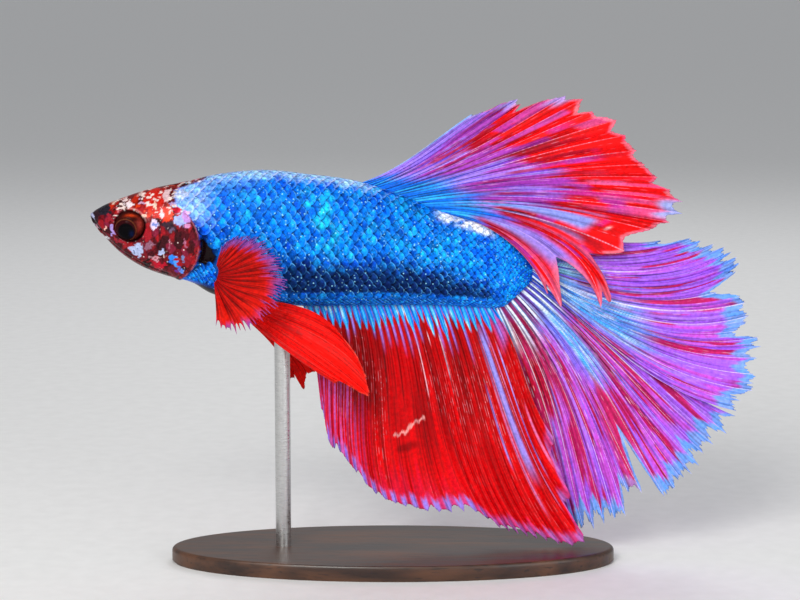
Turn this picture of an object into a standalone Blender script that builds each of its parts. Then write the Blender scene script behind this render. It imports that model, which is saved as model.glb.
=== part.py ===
"""Life-size display model of a male betta (Siamese fighting fish), a long-finned halfmoon, on a plain stand.

Axes: +X runs from the snout to the tail, +Z is up, and the fish's left side faces -Y.
The origin is on the table, in the middle of the box that holds the whole model.
The body is one smooth form, lofted through ribs, that thin cuts part into head, jaw, gill covers, trunk and
tail stalk. Each fin is a sheet swept along its rays. Lengths are in millimetres and angles in degrees until
they reach a mesh.
"""

import math

import bmesh
import bpy
from mathutils import Vector

MM = 0.001

# ---------------------------------------------------------------- driving dimensions, in mm
TOTAL_LENGTH = 68.02  # snout to the tip of the tail fin
BASE_THICKNESS = 1.6
SNOUT_HEIGHT = 36.1  # above the table
FIN_THICKNESS = 0.5
SEAM = 0.25  # width of the cuts between parts of the body
CLEARANCE = 0.15  # between the rod and what it holds
FIN_LIFT = 0.3  # of a fin's root off the body
BODY_RIBS = 32  # along the fish
BODY_SIDES = 20  # round the fish

# Ribs of the body, from the snout to the end of the tail stalk:
# (distance aft of the snout and height above it) of the back, the same of the belly, and half the width.
RIBS = (
    (0.0, 0.0, 0.0, -0.1, 0.0),
    (0.2, 0.4, 0.2, -0.6, 0.6),
    (0.85, 0.85, 0.65, -1.2, 1.05),
    (2.0, 1.42, 1.75, -2.5, 1.65),
    (3.5, 1.98, 3.3, -4.0, 2.25),
    (5.6, 2.68, 5.4, -5.35, 2.8),
    (8.0, 3.24, 7.8, -6.25, 3.25),
    (10.6, 3.7, 10.4, -6.95, 3.5),
    (12.6, 4.15, 12.4, -8.1, 3.67),
    (15.2, 4.52, 15.0, -8.8, 3.78),
    (18.4, 4.68, 18.4, -9.15, 3.8),
    (22.5, 4.25, 22.5, -9.35, 3.65),
    (27.2, 3.6, 27.2, -9.3, 3.3),
    (32.0, 2.1, 32.0, -9.27, 2.75),
    (36.0, 0.45, 36.2, -9.32, 2.15),
    (39.6, -0.75, 39.6, -9.5, 1.6),
    (42.4, -2.2, 42.2, -9.5, 1.15),
    (44.3, -3.75, 44.0, -8.1, 0.75),
    (45.3, -4.9, 45.2, -6.85, 0.4),
    (45.6, -5.7, 45.6, -5.9, 0.0),
)
WIDEST = 0.47  # height of the widest level, as a share of a rib's depth
ROUNDNESS = 0.92  # exponent of the rib's outline; 1 is an ellipse

# Eye
EYE_AFT, EYE_DOWN = 4.4, 0.85
EYE_RADIUS = 1.62
EYE_FLATNESS = 0.74  # of the ball across the fish, as a share of its radius
EYE_OUT = 1.55  # of the ball's centre from the middle plane
SOCKET_GAP = 0.12

# Head, gill covers and jaw
NAPE_AFT, NAPE_DOWN, NAPE_RADIUS = 5.0, 1.8, 7.4  # arc that ends the head
GILL_AFT, GILL_DOWN, GILL_RADIUS = 8.9, 3.25, 2.7
GILL_THICKNESS = 0.75
MOUTH_CORNER = (1.5, -1.15)
JAW_HINGE = (4.2, -5.2)

# Where cuts part the trunk and tail stalk, aft of the snout
TRUNK_CUTS = (19.4, 28.6, 37.6)

# Stand
BASE_LENGTH, BASE_DEPTH = 46.0, 17.6
BASE_AFT = 31.0  # of the base's middle from the snout
BASE_EDGE = 0.45
ROD_RADIUS = 0.8
ROD_AFT = 19.6
ROD_TOP = 30.0  # inside the body, before the body is cut from it
ROD_SOCKET = 1.2


def clear_scene():
    for obj in list(bpy.data.objects):
        bpy.data.objects.remove(obj)


def new_collection(name):
    made = bpy.data.collections.new(name)
    bpy.context.scene.collection.children.link(made)
    return made


def material(name, colour, roughness, metallic=0.0):
    made = bpy.data.materials.new(name)
    made.use_nodes = True
    shader = made.node_tree.nodes["Principled BSDF"]
    shader.inputs["Base Color"].default_value = (*colour, 1.0)
    shader.inputs["Roughness"].default_value = roughness
    shader.inputs["Metallic"].default_value = metallic
    return made


def place(aft, y, up):
    """A point given aft of the snout and above it, in the model's frame and in metres."""
    return Vector((aft - TOTAL_LENGTH / 2, y, SNOUT_HEIGHT + up)) * MM


def smooth_row(rows, at):
    """The values between rows of a table whose first column is `at`, on a smooth curve through them."""
    last = len(rows) - 2
    i = min(max(sum(row[0] <= at for row in rows) - 1, 0), last)
    low, high = rows[i], rows[i + 1]
    span = high[0] - low[0]
    share = (at - low[0]) / span

    def slope(k, column):
        before, after = rows[max(k - 1, 0)], rows[min(k + 1, last + 1)]
        return (after[column] - before[column]) / (after[0] - before[0])

    found = []
    for column in range(1, len(low)):
        a, b = low[column], high[column]
        ma, mb = slope(i, column) * span, slope(i + 1, column) * span
        found.append(
            a * (2 * share**3 - 3 * share**2 + 1)
            + ma * (share**3 - 2 * share**2 + share)
            + b * (3 * share**2 - 2 * share**3)
            + mb * (share**3 - share**2)
        )
    return found


NUMBERED_RIBS = tuple((i, *rib) for i, rib in enumerate(RIBS))


def rib_at(t):
    return smooth_row(NUMBERED_RIBS, t * (len(RIBS) - 1))


def signed_power(value, exponent):
    return math.copysign(abs(value) ** exponent, value)


def body_place(t, angle, grow=0.0):
    """The place (aft, y, up) of the body's surface at t from snout to tail, and at an angle round it that is 0
    on the left side and a quarter turn on the back. grow lifts it off the surface."""
    back_x, back_z, belly_x, belly_z, half = rib_at(t)
    depth = math.hypot(back_x - belly_x, back_z - belly_z)
    rise = Vector((back_x - belly_x, 0.0, back_z - belly_z)) / max(depth, 1e-6)
    middle = Vector((belly_x, 0.0, belly_z)) + rise * depth * WIDEST
    up = signed_power(math.sin(angle), ROUNDNESS)
    out = signed_power(math.cos(angle), ROUNDNESS)
    reach = depth * (1 - WIDEST) if up > 0 else depth * WIDEST
    found = middle + rise * up * (reach + grow) + Vector((0.0, -1.0, 0.0)) * out * (half + grow)
    ends = math.cos(math.pi * t)
    found.x -= grow * signed_power(ends, 9)
    return found


def rib_share(aft, column=0):
    """t of the rib whose back (column 0) or belly (column 2) is that far aft."""
    low, high = 0.0, 1.0
    for _ in range(30):
        middle = (low + high) / 2
        if rib_at(middle)[column] < aft:
            low = middle
        else:
            high = middle
    return low


def edge_height(aft, column):
    """Height above the snout of the back (column 0) or belly (column 2) at a distance aft."""
    return rib_at(rib_share(aft, column))[column + 1]


# ---------------------------------------------------------------- making objects


def add_object(name, mesh, collection, finish=None):
    made = bpy.data.objects.new(name, mesh)
    collection.objects.link(made)
    if finish:
        mesh.materials.append(finish)
    return made


def mesh_from(bm, name, smooth=True):
    bm.normal_update()
    bmesh.ops.recalc_face_normals(bm, faces=bm.faces)
    mesh = bpy.data.meshes.new(name)
    bm.to_mesh(mesh)
    bm.free()
    if smooth:
        mesh.shade_smooth()
        mesh.set_sharp_from_angle(angle=math.radians(50))
    return mesh


def body_mesh(name, grow=0.0):
    """A sphere whose meridians and parallels are laid over the ribs."""
    bm = bmesh.new()
    bmesh.ops.create_uvsphere(bm, u_segments=BODY_SIDES, v_segments=BODY_RIBS, radius=1.0)
    for vert in bm.verts:
        t = math.acos(max(-1.0, min(1.0, vert.co.z))) / math.pi
        angle = math.atan2(vert.co.y, vert.co.x)
        vert.co = place(*body_place(t, angle, grow))
    return mesh_from(bm, name)


def helper(obj):
    obj.hide_render = True
    obj.display_type = "WIRE"
    return obj


def cylinder_across(name, aft, up, radius, y_from, y_to, segments=30):
    """A cylinder along Y."""
    bm = bmesh.new()
    thick, long = radius * MM, (y_to - y_from) * MM
    bmesh.ops.create_cone(bm, cap_ends=True, segments=segments, radius1=thick, radius2=thick, depth=long)
    for vert in bm.verts:
        x, y, z = vert.co
        vert.co = Vector((x, z, y)) + place(aft, (y_from + y_to) / 2, up)
    return helper(add_object(name, mesh_from(bm, name, smooth=False), CUTTERS))


def box_between(name, low, high):
    """A box with its corners at two places (aft, y, up)."""
    bm = bmesh.new()
    bmesh.ops.create_cube(bm, size=1.0)
    a, b = place(*low), place(*high)
    for vert in bm.verts:
        vert.co = Vector(a[k] + (vert.co[k] + 0.5) * (b[k] - a[k]) for k in range(3))
    return helper(add_object(name, mesh_from(bm, name, smooth=False), CUTTERS))


def prism_across(name, corners, half_width):
    """A flat outline of places (aft, up), as thick as twice half_width across the middle plane."""
    outline = bpy.data.curves.new(name, "CURVE")
    outline.dimensions = "2D"
    outline.fill_mode = "BOTH"
    outline.extrude = half_width * MM
    spline = outline.splines.new("POLY")
    spline.points.add(len(corners) - 1)
    for point, (aft, up) in zip(spline.points, corners):
        found = place(aft, 0.0, up)
        point.co = (found.x, found.z, 0.0, 1.0)
    spline.use_cyclic_u = True
    flat = bpy.data.objects.new(name + "_outline", outline)
    flat.rotation_euler.x = math.radians(90)
    CUTTERS.objects.link(flat)
    bpy.context.view_layer.update()
    graph = bpy.context.evaluated_depsgraph_get()
    mesh = bpy.data.meshes.new_from_object(flat.evaluated_get(graph))
    bm = bmesh.new()
    bm.from_mesh(mesh)
    bmesh.ops.remove_doubles(bm, verts=bm.verts, dist=1e-6)
    bm.transform(flat.matrix_world)
    bpy.data.objects.remove(flat)
    return helper(add_object(name, mesh_from(bm, name, smooth=False), CUTTERS))


def cut(obj, operation, *cutters):
    for cutter in cutters:
        modifier = obj.modifiers.new(f"{operation.lower()}_{cutter.name}", "BOOLEAN")
        modifier.operation = operation
        modifier.solver = "EXACT"
        modifier.object = cutter
    return obj


# ---------------------------------------------------------------- fins


def swept(root, tip, root_angle, tip_angle, share):
    """A point on the smooth line of one ray, which leaves its root and reaches its tip at given angles."""
    run = math.hypot(tip[0] - root[0], tip[1] - root[1]) * 0.36
    a, b = math.radians(root_angle), math.radians(tip_angle)
    leave = (root[0] + run * math.cos(a), root[1] + run * math.sin(a))
    arrive = (tip[0] - run * math.cos(b), tip[1] - run * math.sin(b))
    w = (1 - share) ** 3, 3 * share * (1 - share) ** 2, 3 * share**2 * (1 - share), share**3
    return tuple(w[0] * root[k] + w[1] * leave[k] + w[2] * arrive[k] + w[3] * tip[k] for k in (0, 1))


def web_reach(ray, notches, scallop):
    """How far along a ray the web between the rays reaches, as a share of the ray."""
    reach = 1.0 - scallop * abs(math.sin(math.pi * ray))
    for at, half, depth in notches:
        reach -= depth * max(0.0, 1.0 - abs(ray - at) / half)
    return reach


def fin(name, rays, root, notches, finish, rows=4, scallop=0.035, pleat=0.11, columns=None):
    """A fin's sheet, swept over its rays. rays holds, for some rays by number: (ray, tip aft, tip up, angle at
    the root, angle at the tip, y of the tip). root(share) gives (aft, y, up)."""
    count = int(rays[-1][0] - rays[0][0])
    columns = columns or 2 * count
    bm = bmesh.new()
    bmesh.ops.create_grid(bm, x_segments=columns, y_segments=rows, size=0.5)
    for vert in bm.verts:
        across, along = vert.co.x + 0.5, vert.co.y + 0.5
        ray = rays[0][0] + across * count
        tip_x, tip_z, root_angle, tip_angle, tip_y = smooth_row(rays, ray)
        x0, y0, z0 = root(across)
        share = along * web_reach(ray, notches, scallop)
        x, z = swept((x0, z0), (tip_x, tip_z), root_angle, tip_angle, share)
        y = y0 + (tip_y - y0) * share**1.4 + pleat * math.cos(2 * math.pi * ray) * share**0.6
        vert.co = place(x, y, z)
    obj = add_object(name, mesh_from(bm, name), FISH, finish)
    shell = obj.modifiers.new("thickness", "SOLIDIFY")
    shell.thickness = FIN_THICKNESS * MM
    shell.offset = 0.0
    shell.use_even_offset = False
    return obj


# Dorsal fin: it fans up and back from the rear half of the back, and its last rays hang in two streamers.
DORSAL_RAYS = (
    (0, 38.6, 10.0, 16, 34, 0.4),
    (3, 43.1, 11.5, 18, 32, 0.1),
    (6.5, 49.0, 11.9, 17, 30, -0.5),
    (9, 52.8, 9.5, 15, 16, -0.2),
    (11, 54.9, 6.5, 13, 6, 0.4),
    (13, 57.1, 3.9, 11, -2, 0.3),
    (15, 59.5, 1.6, 9, -8, -0.4),
    (16.5, 59.6, -0.1, 7, -8, -0.9),
    (18, 57.3, -1.3, 5, -14, -1.2),
    (19, 53.7, -3.1, 3, -24, -1.7),
    (20.2, 53.0, -8.5, 1, -74, -2.3),
    (21, 52.0, -8.3, 0, -78, -2.5),
    (22, 50.1, -8.3, 0, -74, -2.6),
    (23, 47.9, -8.5, -1, -70, -2.6),
    (24, 46.5, -7.3, -4, -66, -2.5),
)
DORSAL_ROOT = (27.3, 35.9)
DORSAL_NOTCHES = (
    (1.2, 0.9, 0.05),
    (4.3, 1.2, 0.1),
    (8.0, 0.9, 0.06),
    (19.6, 0.5, 0.16),
    (20.6, 0.35, 0.06),
    (22.0, 0.95, 0.32),
    (23.5, 0.4, 0.1),
)

# Anal fin: it hangs from most of the belly, and its rear rays sweep back in front of the tail fin.
ANAL_RAYS = (
    (0, 23.6, -20.0, -72, -84, 0.3),
    (2, 24.4, -23.6, -72, -84, 0.5),
    (5, 26.3, -25.6, -71, -80, 0.3),
    (8, 29.2, -28.8, -70, -75, -0.3),
    (11, 32.3, -30.1, -69, -72, -0.5),
    (14, 35.8, -30.9, -68, -68, 0.0),
    (17, 39.6, -31.0, -68, -60, 0.5),
    (19, 42.0, -32.5, -68, -56, 0.3),
    (22, 44.8, -33.2, -68, -54, -0.4),
    (25, 48.0, -33.8, -68, -52, -1.2),
    (27, 50.6, -33.5, -67, -50, -1.9),
    (28.4, 50.0, -29.8, -62, -44, -2.3),
    (30, 47.3, -22.4, -53, -54, -2.6),
)
ANAL_ROOT = (21.7, 41.2)
ANAL_NOTCHES = ((1.0, 0.9, 0.12), (3.6, 1.0, 0.03), (27.9, 0.7, 0.14), (29.2, 0.7, 0.14))

# Tail fin: a half-circle fan in two lobes, the lower one behind the upper where they meet.
# Aft of the snout: its first root on the back and its last under the belly
TAIL_ROOT = (43.7, 42.2)
TAIL_MIDDLE = (40.0, -5.9)  # the roots are lifted off the body away from here
# Shares of the way from back to belly where a lobe starts and ends, and its roots' y
UPPER_LOBE = (0.0, 0.58, -0.45)
LOWER_LOBE = (0.58, 1.0, 0.55)
UPPER_TAIL_RAYS = (
    (0, 58.0, -2.8, 30, 8, 0.9),
    (2, 60.8, -2.7, 2, 20, 0.7),
    (5, 64.2, -3.7, -12, 27, 0.2),
    (8, 65.7, -5.3, -22, 28, -0.3),
    (9.5, 65.5, -6.3, -26, 30, -0.5),
    (10.5, 66.3, -8.3, -29, 14, -0.3),
    (12, 66.8, -10.6, -34, 14, 0.2),
    (14, 68.0, -12.8, -38, 9, 0.6),
    (16, 67.8, -14.8, -38, 0, 0.3),
    (18, 67.3, -18.0, -38, -8, -0.3),
    (20, 65.5, -19.9, -38, -14, -0.8),
)
UPPER_TAIL_NOTCHES = ((1.1, 0.8, 0.12), (9.9, 0.55, 0.15), (13.1, 0.7, 0.08), (18.9, 0.6, 0.04))
LOWER_TAIL_RAYS = (
    (20, 65.7, -20.6, -33, -24, 0.5),
    (21, 64.9, -22.2, -34, -40, 0.7),
    (22, 63.6, -23.4, -37, -42, 0.9),
    (24, 62.1, -25.5, -38, -46, 1.2),
    (26, 60.6, -27.1, -38, -52, 0.9),
    (28, 58.8, -28.6, -39, -60, 0.5),
    (29, 56.5, -28.3, -42, -62, 0.4),
    (31, 55.0, -30.7, -46, -72, 0.8),
    (33, 52.8, -31.4, -49, -75, 1.2),
    (35, 50.8, -32.5, -52, -75, 1.3),
    (37, 49.2, -32.0, -66, -74, 1.5),
    (38, 46.4, -29.4, -77, -76, 1.5),
)
LOWER_TAIL_NOTCHES = ((28.5, 0.45, 0.24), (30.2, 0.6, 0.07))

# Left pectoral fin: a fan spread wide behind the gill cover.
PECTORAL_RAYS = (
    (0, 13.9, -2.4, 84, 80, -5.2),
    (2, 15.4, -1.5, 68, 56, -5.7),
    (4, 17.4, -1.4, 46, 40, -6.4),
    (6, 19.1, -2.5, 24, 18, -7.0),
    (8, 20.2, -4.5, 4, 0, -7.4),
    (10, 20.5, -6.4, -14, -18, -7.5),
    (12, 19.4, -8.6, -34, -38, -7.3),
    (14, 17.2, -10.6, -56, -60, -6.8),
    (15, 15.4, -11.2, -70, -76, -6.5),
    (16, 13.3, -10.6, -86, -94, -6.2),
)
PECTORAL_ROOT = ((13.5, -16.0), (13.1, -45.0))  # (aft, angle round the body) of its upper and lower ends

# Pelvic fins: a long blade under the throat, on each side. The left one is spread and swept back.
LEFT_PELVIC_RAYS = (
    (0, 25.4, -16.7, -42, -28, -4.5),
    (1.2, 26.1, -16.6, -40, -30, -4.6),
    (3, 28.8, -17.9, -34, -40, -4.9),
    (4, 28.4, -16.0, -28, -54, -4.9),
    (5, 27.4, -13.8, -18, -54, -4.8),
    (6, 25.5, -11.3, -6, -48, -4.5),
)
RIGHT_PELVIC_RAYS = (
    (0, 20.2, -17.8, -52, -84, 3.6),
    (1, 20.7, -17.7, -50, -80, 3.8),
    (2, 21.6, -18.9, -48, -70, 4.1),
    (3, 22.2, -17.9, -45, -68, 4.3),
    (4, 23.1, -17.0, -40, -66, 4.4),
    (6, 24.4, -15.2, -30, -56, 4.6),
)
PELVIC_ROOT = ((13.4, -80.0), (15.2, -76.0))
LEFT_PELVIC_NOTCHES = ((1.3, 0.5, 0.03),)
RIGHT_PELVIC_NOTCHES = ((1.5, 0.5, 0.16), (3.0, 0.8, 0.05))


def on_edge(span, column, lift):
    """Roots along the back or the belly between two distances aft, lifted off the body."""

    def root(share):
        aft = span[0] + (span[1] - span[0]) * share
        return aft, 0.0, edge_height(aft, column) + lift

    return root


def on_tail_end(first, last, y):
    """Roots round the end of the tail stalk, between two shares of the way from the back to the belly."""
    back, belly = rib_share(TAIL_ROOT[0], 0), rib_share(TAIL_ROOT[1], 2)

    def root(share):
        turn = 2 * (first + (last - first) * share)
        if turn < 1:
            aft, up = rib_at(back + (1 - back) * turn)[:2]
        else:
            aft, up = rib_at(1 + (belly - 1) * (turn - 1))[2:4]
        away = Vector((aft - TAIL_MIDDLE[0], up - TAIL_MIDDLE[1])).normalized() * FIN_LIFT
        return aft + away.x, y, up + away.y

    return root


def on_skin(ends, side):
    """Roots on a short line across the skin of the left (1) or right (-1) side, between two ends, which are
    (aft, angle)."""

    def root(share):
        aft, angle = (a + (b - a) * share for a, b in zip(*ends))
        found = body_place(rib_share(aft), math.radians(angle), FIN_THICKNESS / 2 + FIN_LIFT)
        return found.x, found.y * side, found.z

    return root


def mirrored(rays):
    return tuple((*row[:5], -row[5]) for row in rays)


def make_fins(finishes):
    median, red = finishes["fin"], finishes["red fin"]
    fin("dorsal_fin", DORSAL_RAYS, on_edge(DORSAL_ROOT, 0, FIN_LIFT), DORSAL_NOTCHES, median, rows=5)
    fin("anal_fin", ANAL_RAYS, on_edge(ANAL_ROOT, 2, -FIN_LIFT), ANAL_NOTCHES, median, rows=5)
    for name, rays, lobe, notches in (
        ("tail_fin_upper", UPPER_TAIL_RAYS, UPPER_LOBE, UPPER_TAIL_NOTCHES),
        ("tail_fin_lower", LOWER_TAIL_RAYS, LOWER_LOBE, LOWER_TAIL_NOTCHES),
    ):
        fin(name, rays, on_tail_end(*lobe), notches, median, rows=4, scallop=0.02)
    for side, sign, pectoral, pelvic, notches in (
        ("left", 1.0, PECTORAL_RAYS, LEFT_PELVIC_RAYS, LEFT_PELVIC_NOTCHES),
        ("right", -1.0, mirrored(PECTORAL_RAYS), RIGHT_PELVIC_RAYS, RIGHT_PELVIC_NOTCHES),
    ):
        fin(f"pectoral_fin_{side}", pectoral, on_skin(PECTORAL_ROOT, sign), (), red, rows=2, scallop=0.06)
        fin(f"pelvic_fin_{side}", pelvic, on_skin(PELVIC_ROOT, sign), notches, red, rows=4, scallop=0.01)


# ---------------------------------------------------------------- body parts


def make_body(finishes):
    far, high = 80.0, 30.0
    nape = (NAPE_AFT, -NAPE_DOWN)
    head_arc = cylinder_across("head_arc", *nape, NAPE_RADIUS, -far, far, 48)
    behind_head = cylinder_across("behind_head_arc", *nape, NAPE_RADIUS + SEAM, -far, far, 48)
    jaw_outline = (
        (-2.0, 0.2),
        (0.0, -0.02),
        MOUTH_CORNER,
        JAW_HINGE,
        (4.2, -9.0),
        (-2.0, -9.0),
    )
    jaw = prism_across("jaw_outline", jaw_outline, far)
    jaw_slot = prism_across(
        "jaw_slot", tuple((aft + SEAM * 0.7, up + SEAM * 0.7) for aft, up in jaw_outline), far
    )
    skull_core, pocket_core = (
        helper(add_object(name, body_mesh(name, grow=-depth), CUTTERS))
        for name, depth in (("skull_core", GILL_THICKNESS), ("pocket_core", GILL_THICKNESS + SEAM))
    )

    head = add_object("head", body_mesh("head"), FISH, finishes["head"])
    cut(head, "INTERSECT", head_arc)
    cut(head, "DIFFERENCE", jaw_slot)
    lower_jaw = add_object("lower_jaw", body_mesh("lower_jaw"), FISH, finishes["head"])
    cut(lower_jaw, "INTERSECT", jaw)

    for side, sign in (("left", -1.0), ("right", 1.0)):
        inner, outer = sorted((0.3 * sign, far * sign))
        gill = (GILL_AFT, -GILL_DOWN)
        pocket = cylinder_across(f"gill_pocket_{side}", *gill, GILL_RADIUS + SEAM, inner, outer)
        cut(pocket, "DIFFERENCE", pocket_core)
        cut(head, "DIFFERENCE", pocket)
        disc = cylinder_across(f"gill_disc_{side}", *gill, GILL_RADIUS, inner, outer)
        cover = add_object(f"gill_cover_{side}", body_mesh(f"gill_cover_{side}"), FISH, finishes["head"])
        cut(cover, "INTERSECT", disc)
        cut(cover, "DIFFERENCE", skull_core)
        make_eye(side, sign, head, finishes["eye"])

    ends = (-5.0, *TRUNK_CUTS, 60.0)
    names = ("trunk_front", "trunk_middle", "trunk_rear", "tail_stalk")
    for name, start, stop in zip(names, ends, ends[1:]):
        part = add_object(name, body_mesh(name), FISH, finishes["body"])
        slab = box_between(f"{name}_slab", (start + SEAM / 2, -far, -high), (stop - SEAM / 2, far, high))
        cut(part, "INTERSECT", slab)
        if name == "trunk_front":
            cut(part, "DIFFERENCE", behind_head)


def make_eye(side, sign, head, finish):
    centre = place(EYE_AFT, EYE_OUT * sign, -EYE_DOWN)
    for name, radius, collection in (
        (f"eye_{side}", EYE_RADIUS, FISH),
        (f"eye_socket_{side}", EYE_RADIUS + SOCKET_GAP, CUTTERS),
    ):
        bm = bmesh.new()
        bmesh.ops.create_uvsphere(bm, u_segments=16, v_segments=8, radius=radius * MM)
        for vert in bm.verts:
            x, y, z = vert.co
            vert.co = Vector((x, z * EYE_FLATNESS, y)) + centre
        made = add_object(name, mesh_from(bm, name), collection, finish)
        if collection is CUTTERS:
            cut(head, "DIFFERENCE", helper(made))


# ---------------------------------------------------------------- stand


def make_stand(finishes, clear_of_body):
    bm = bmesh.new()
    bmesh.ops.create_cone(bm, cap_ends=True, segments=40, radius1=0.5, radius2=0.5, depth=1.0)
    for vert in bm.verts:
        x, y, z = vert.co
        vert.co = Vector(
            (
                x * BASE_LENGTH + BASE_AFT - TOTAL_LENGTH / 2,
                y * BASE_DEPTH,
                (z + 0.5) * BASE_THICKNESS,
            )
        ) * MM
    base = add_object("stand_base", mesh_from(bm, "stand_base"), FISH, finishes["base"])
    rounding = base.modifiers.new("rounded_edge", "BEVEL")
    rounding.width = BASE_EDGE * MM
    rounding.segments = 2
    rounding.limit_method = "ANGLE"

    foot = BASE_THICKNESS - ROD_SOCKET
    x = ROD_AFT - TOTAL_LENGTH / 2
    for name, radius, low, collection in (
        ("stand_rod", ROD_RADIUS, foot + CLEARANCE, FISH),
        ("rod_socket", ROD_RADIUS + CLEARANCE, foot, CUTTERS),
    ):
        bm = bmesh.new()
        thick, long = radius * MM, (ROD_TOP - low) * MM
        bmesh.ops.create_cone(bm, cap_ends=True, segments=20, radius1=thick, radius2=thick, depth=long)
        bmesh.ops.translate(bm, verts=bm.verts, vec=Vector((x, 0.0, (ROD_TOP + low) / 2)) * MM)
        made = add_object(name, mesh_from(bm, name), collection, finishes["rod"])
        if collection is CUTTERS:
            cut(base, "DIFFERENCE", helper(made))
        else:
            cut(made, "DIFFERENCE", clear_of_body)


def main():
    finishes = {
        "body": material("scaled blue skin", (0.012, 0.13, 0.72), 0.35),
        "head": material("marbled red head", (0.32, 0.02, 0.02), 0.35),
        "eye": material("eye", (0.25, 0.03, 0.01), 0.1),
        "fin": material("violet and red fin", (0.45, 0.05, 0.25), 0.45),
        "red fin": material("red fin", (0.72, 0.02, 0.01), 0.45),
        "base": material("dark wood", (0.05, 0.03, 0.02), 0.45),
        "rod": material("steel", (0.6, 0.6, 0.6), 0.3, metallic=1.0),
    }
    clear_of_body = add_object("clear_of_body", body_mesh("clear_of_body", grow=CLEARANCE), CUTTERS)
    helper(clear_of_body)
    make_body(finishes)
    make_fins(finishes)
    make_stand(finishes, clear_of_body)


clear_scene()
FISH = new_collection("betta_fish")
CUTTERS = new_collection("cutters")
main()
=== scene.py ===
"""Looks of a life-size betta display model: its skin, scales, eyes, fins and stand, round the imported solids.

Sizes are in millimetres until they reach a mesh, and the tables hold angles in degrees. A place on the fish
is (aft of the snout, y, above the snout), and the fish's left side faces -Y.
"""

import itertools
import math

import bpy
import numpy as np
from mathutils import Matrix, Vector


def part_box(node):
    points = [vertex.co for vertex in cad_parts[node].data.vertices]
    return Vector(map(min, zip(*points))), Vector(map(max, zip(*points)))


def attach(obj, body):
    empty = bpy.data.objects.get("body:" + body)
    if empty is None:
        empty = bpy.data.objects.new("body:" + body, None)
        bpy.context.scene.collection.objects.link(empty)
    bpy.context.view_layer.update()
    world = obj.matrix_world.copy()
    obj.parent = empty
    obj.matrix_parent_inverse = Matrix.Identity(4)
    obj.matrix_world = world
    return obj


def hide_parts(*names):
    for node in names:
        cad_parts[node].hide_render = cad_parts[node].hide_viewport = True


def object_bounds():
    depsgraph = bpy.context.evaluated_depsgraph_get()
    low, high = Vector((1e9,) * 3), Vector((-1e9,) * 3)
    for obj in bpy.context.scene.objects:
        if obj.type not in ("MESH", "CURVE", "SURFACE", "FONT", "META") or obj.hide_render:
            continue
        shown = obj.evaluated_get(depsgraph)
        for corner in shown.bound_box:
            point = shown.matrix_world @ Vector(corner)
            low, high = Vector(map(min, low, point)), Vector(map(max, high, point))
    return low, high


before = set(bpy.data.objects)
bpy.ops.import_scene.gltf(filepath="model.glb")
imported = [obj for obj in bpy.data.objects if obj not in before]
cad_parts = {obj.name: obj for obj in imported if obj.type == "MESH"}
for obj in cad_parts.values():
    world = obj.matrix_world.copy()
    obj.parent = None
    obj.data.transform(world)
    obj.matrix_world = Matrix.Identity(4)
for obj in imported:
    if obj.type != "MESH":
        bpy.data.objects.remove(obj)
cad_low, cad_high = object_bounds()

# ---------------------------------------------------------------------------------------------------- skin
# The skin is one moist hide from the lips to the tail stalk: marbled red, black and white on the head, and
# darkened with painted shade under the scales. It is lofted through the ribs that the solids have, and lies
# inside them by the scales' depth.

MM = 0.001
SNOUT_X = cad_low.x / MM
SNOUT_Z = 36.1
SCALE_DEPTH = 0.13
# (aft and up of the back, the same of the belly, half the width), from the snout to the end of the tail stalk
RIBS = np.array(
    (
        (0.0, 0.0, 0.0, -0.1, 0.0),
        (0.2, 0.4, 0.2, -0.6, 0.6),
        (0.85, 0.85, 0.65, -1.2, 1.05),
        (2.0, 1.42, 1.75, -2.5, 1.65),
        (3.5, 1.98, 3.3, -4.0, 2.25),
        (5.6, 2.68, 5.4, -5.35, 2.8),
        (8.0, 3.24, 7.8, -6.25, 3.25),
        (10.6, 3.7, 10.4, -6.95, 3.5),
        (12.6, 4.15, 12.4, -8.1, 3.67),
        (15.2, 4.52, 15.0, -8.8, 3.78),
        (18.4, 4.68, 18.4, -9.15, 3.8),
        (22.5, 4.25, 22.5, -9.35, 3.65),
        (27.2, 3.6, 27.2, -9.3, 3.3),
        (32.0, 2.1, 32.0, -9.27, 2.75),
        (36.0, 0.45, 36.2, -9.32, 2.15),
        (39.6, -0.75, 39.6, -9.5, 1.6),
        (42.4, -2.2, 42.2, -9.5, 1.15),
        (44.3, -3.75, 44.0, -8.1, 0.75),
        (45.3, -4.9, 45.2, -6.85, 0.4),
        (45.6, -5.7, 45.6, -5.9, 0.0),
    )
)
WIDEST = 0.47
ROUNDNESS = 0.92


def hex_colour(code):
    """A colour given as sRGB hex, in linear light."""
    srgb = np.array([int(code[i : i + 2], 16) for i in (1, 3, 5)]) / 255
    return np.where(srgb <= 0.04045, srgb / 12.92, ((srgb + 0.055) / 1.055) ** 2.4)


def soft(value, low, high):
    """0 up to low, 1 from high, and an even curve between."""
    share = np.clip((value - low) / (high - low), 0.0, 1.0)
    return share * share * (3 - 2 * share)


def mix(base, over, amount):
    """Colours of base with over laid on them by amount."""
    amount = np.asarray(amount)[..., None]
    return base * (1 - amount) + over * amount


HASH_SCALE = 43758.5453


def mottle(points, size, seed):
    """Smooth noise from 0 to 1 at the points, in blotches about size across, which may differ by axis."""
    cells = points / np.asarray(size, float) + seed * 17.31
    whole = np.floor(cells)
    part = cells - whole
    part = part * part * (3 - 2 * part)
    total = 0.0
    for corner in itertools.product((0, 1), repeat=3):
        mixed = np.sin((whole + corner) @ (127.1, 311.7, 74.7)) * HASH_SCALE
        total += (mixed - np.floor(mixed)) * np.prod(np.where(corner, part, 1 - part), axis=-1)
    return total


COBBLE_HASH = np.array(((127.1, 269.5, 113.5), (311.7, 183.3, 271.9), (74.7, 246.1, 124.6)))


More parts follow.
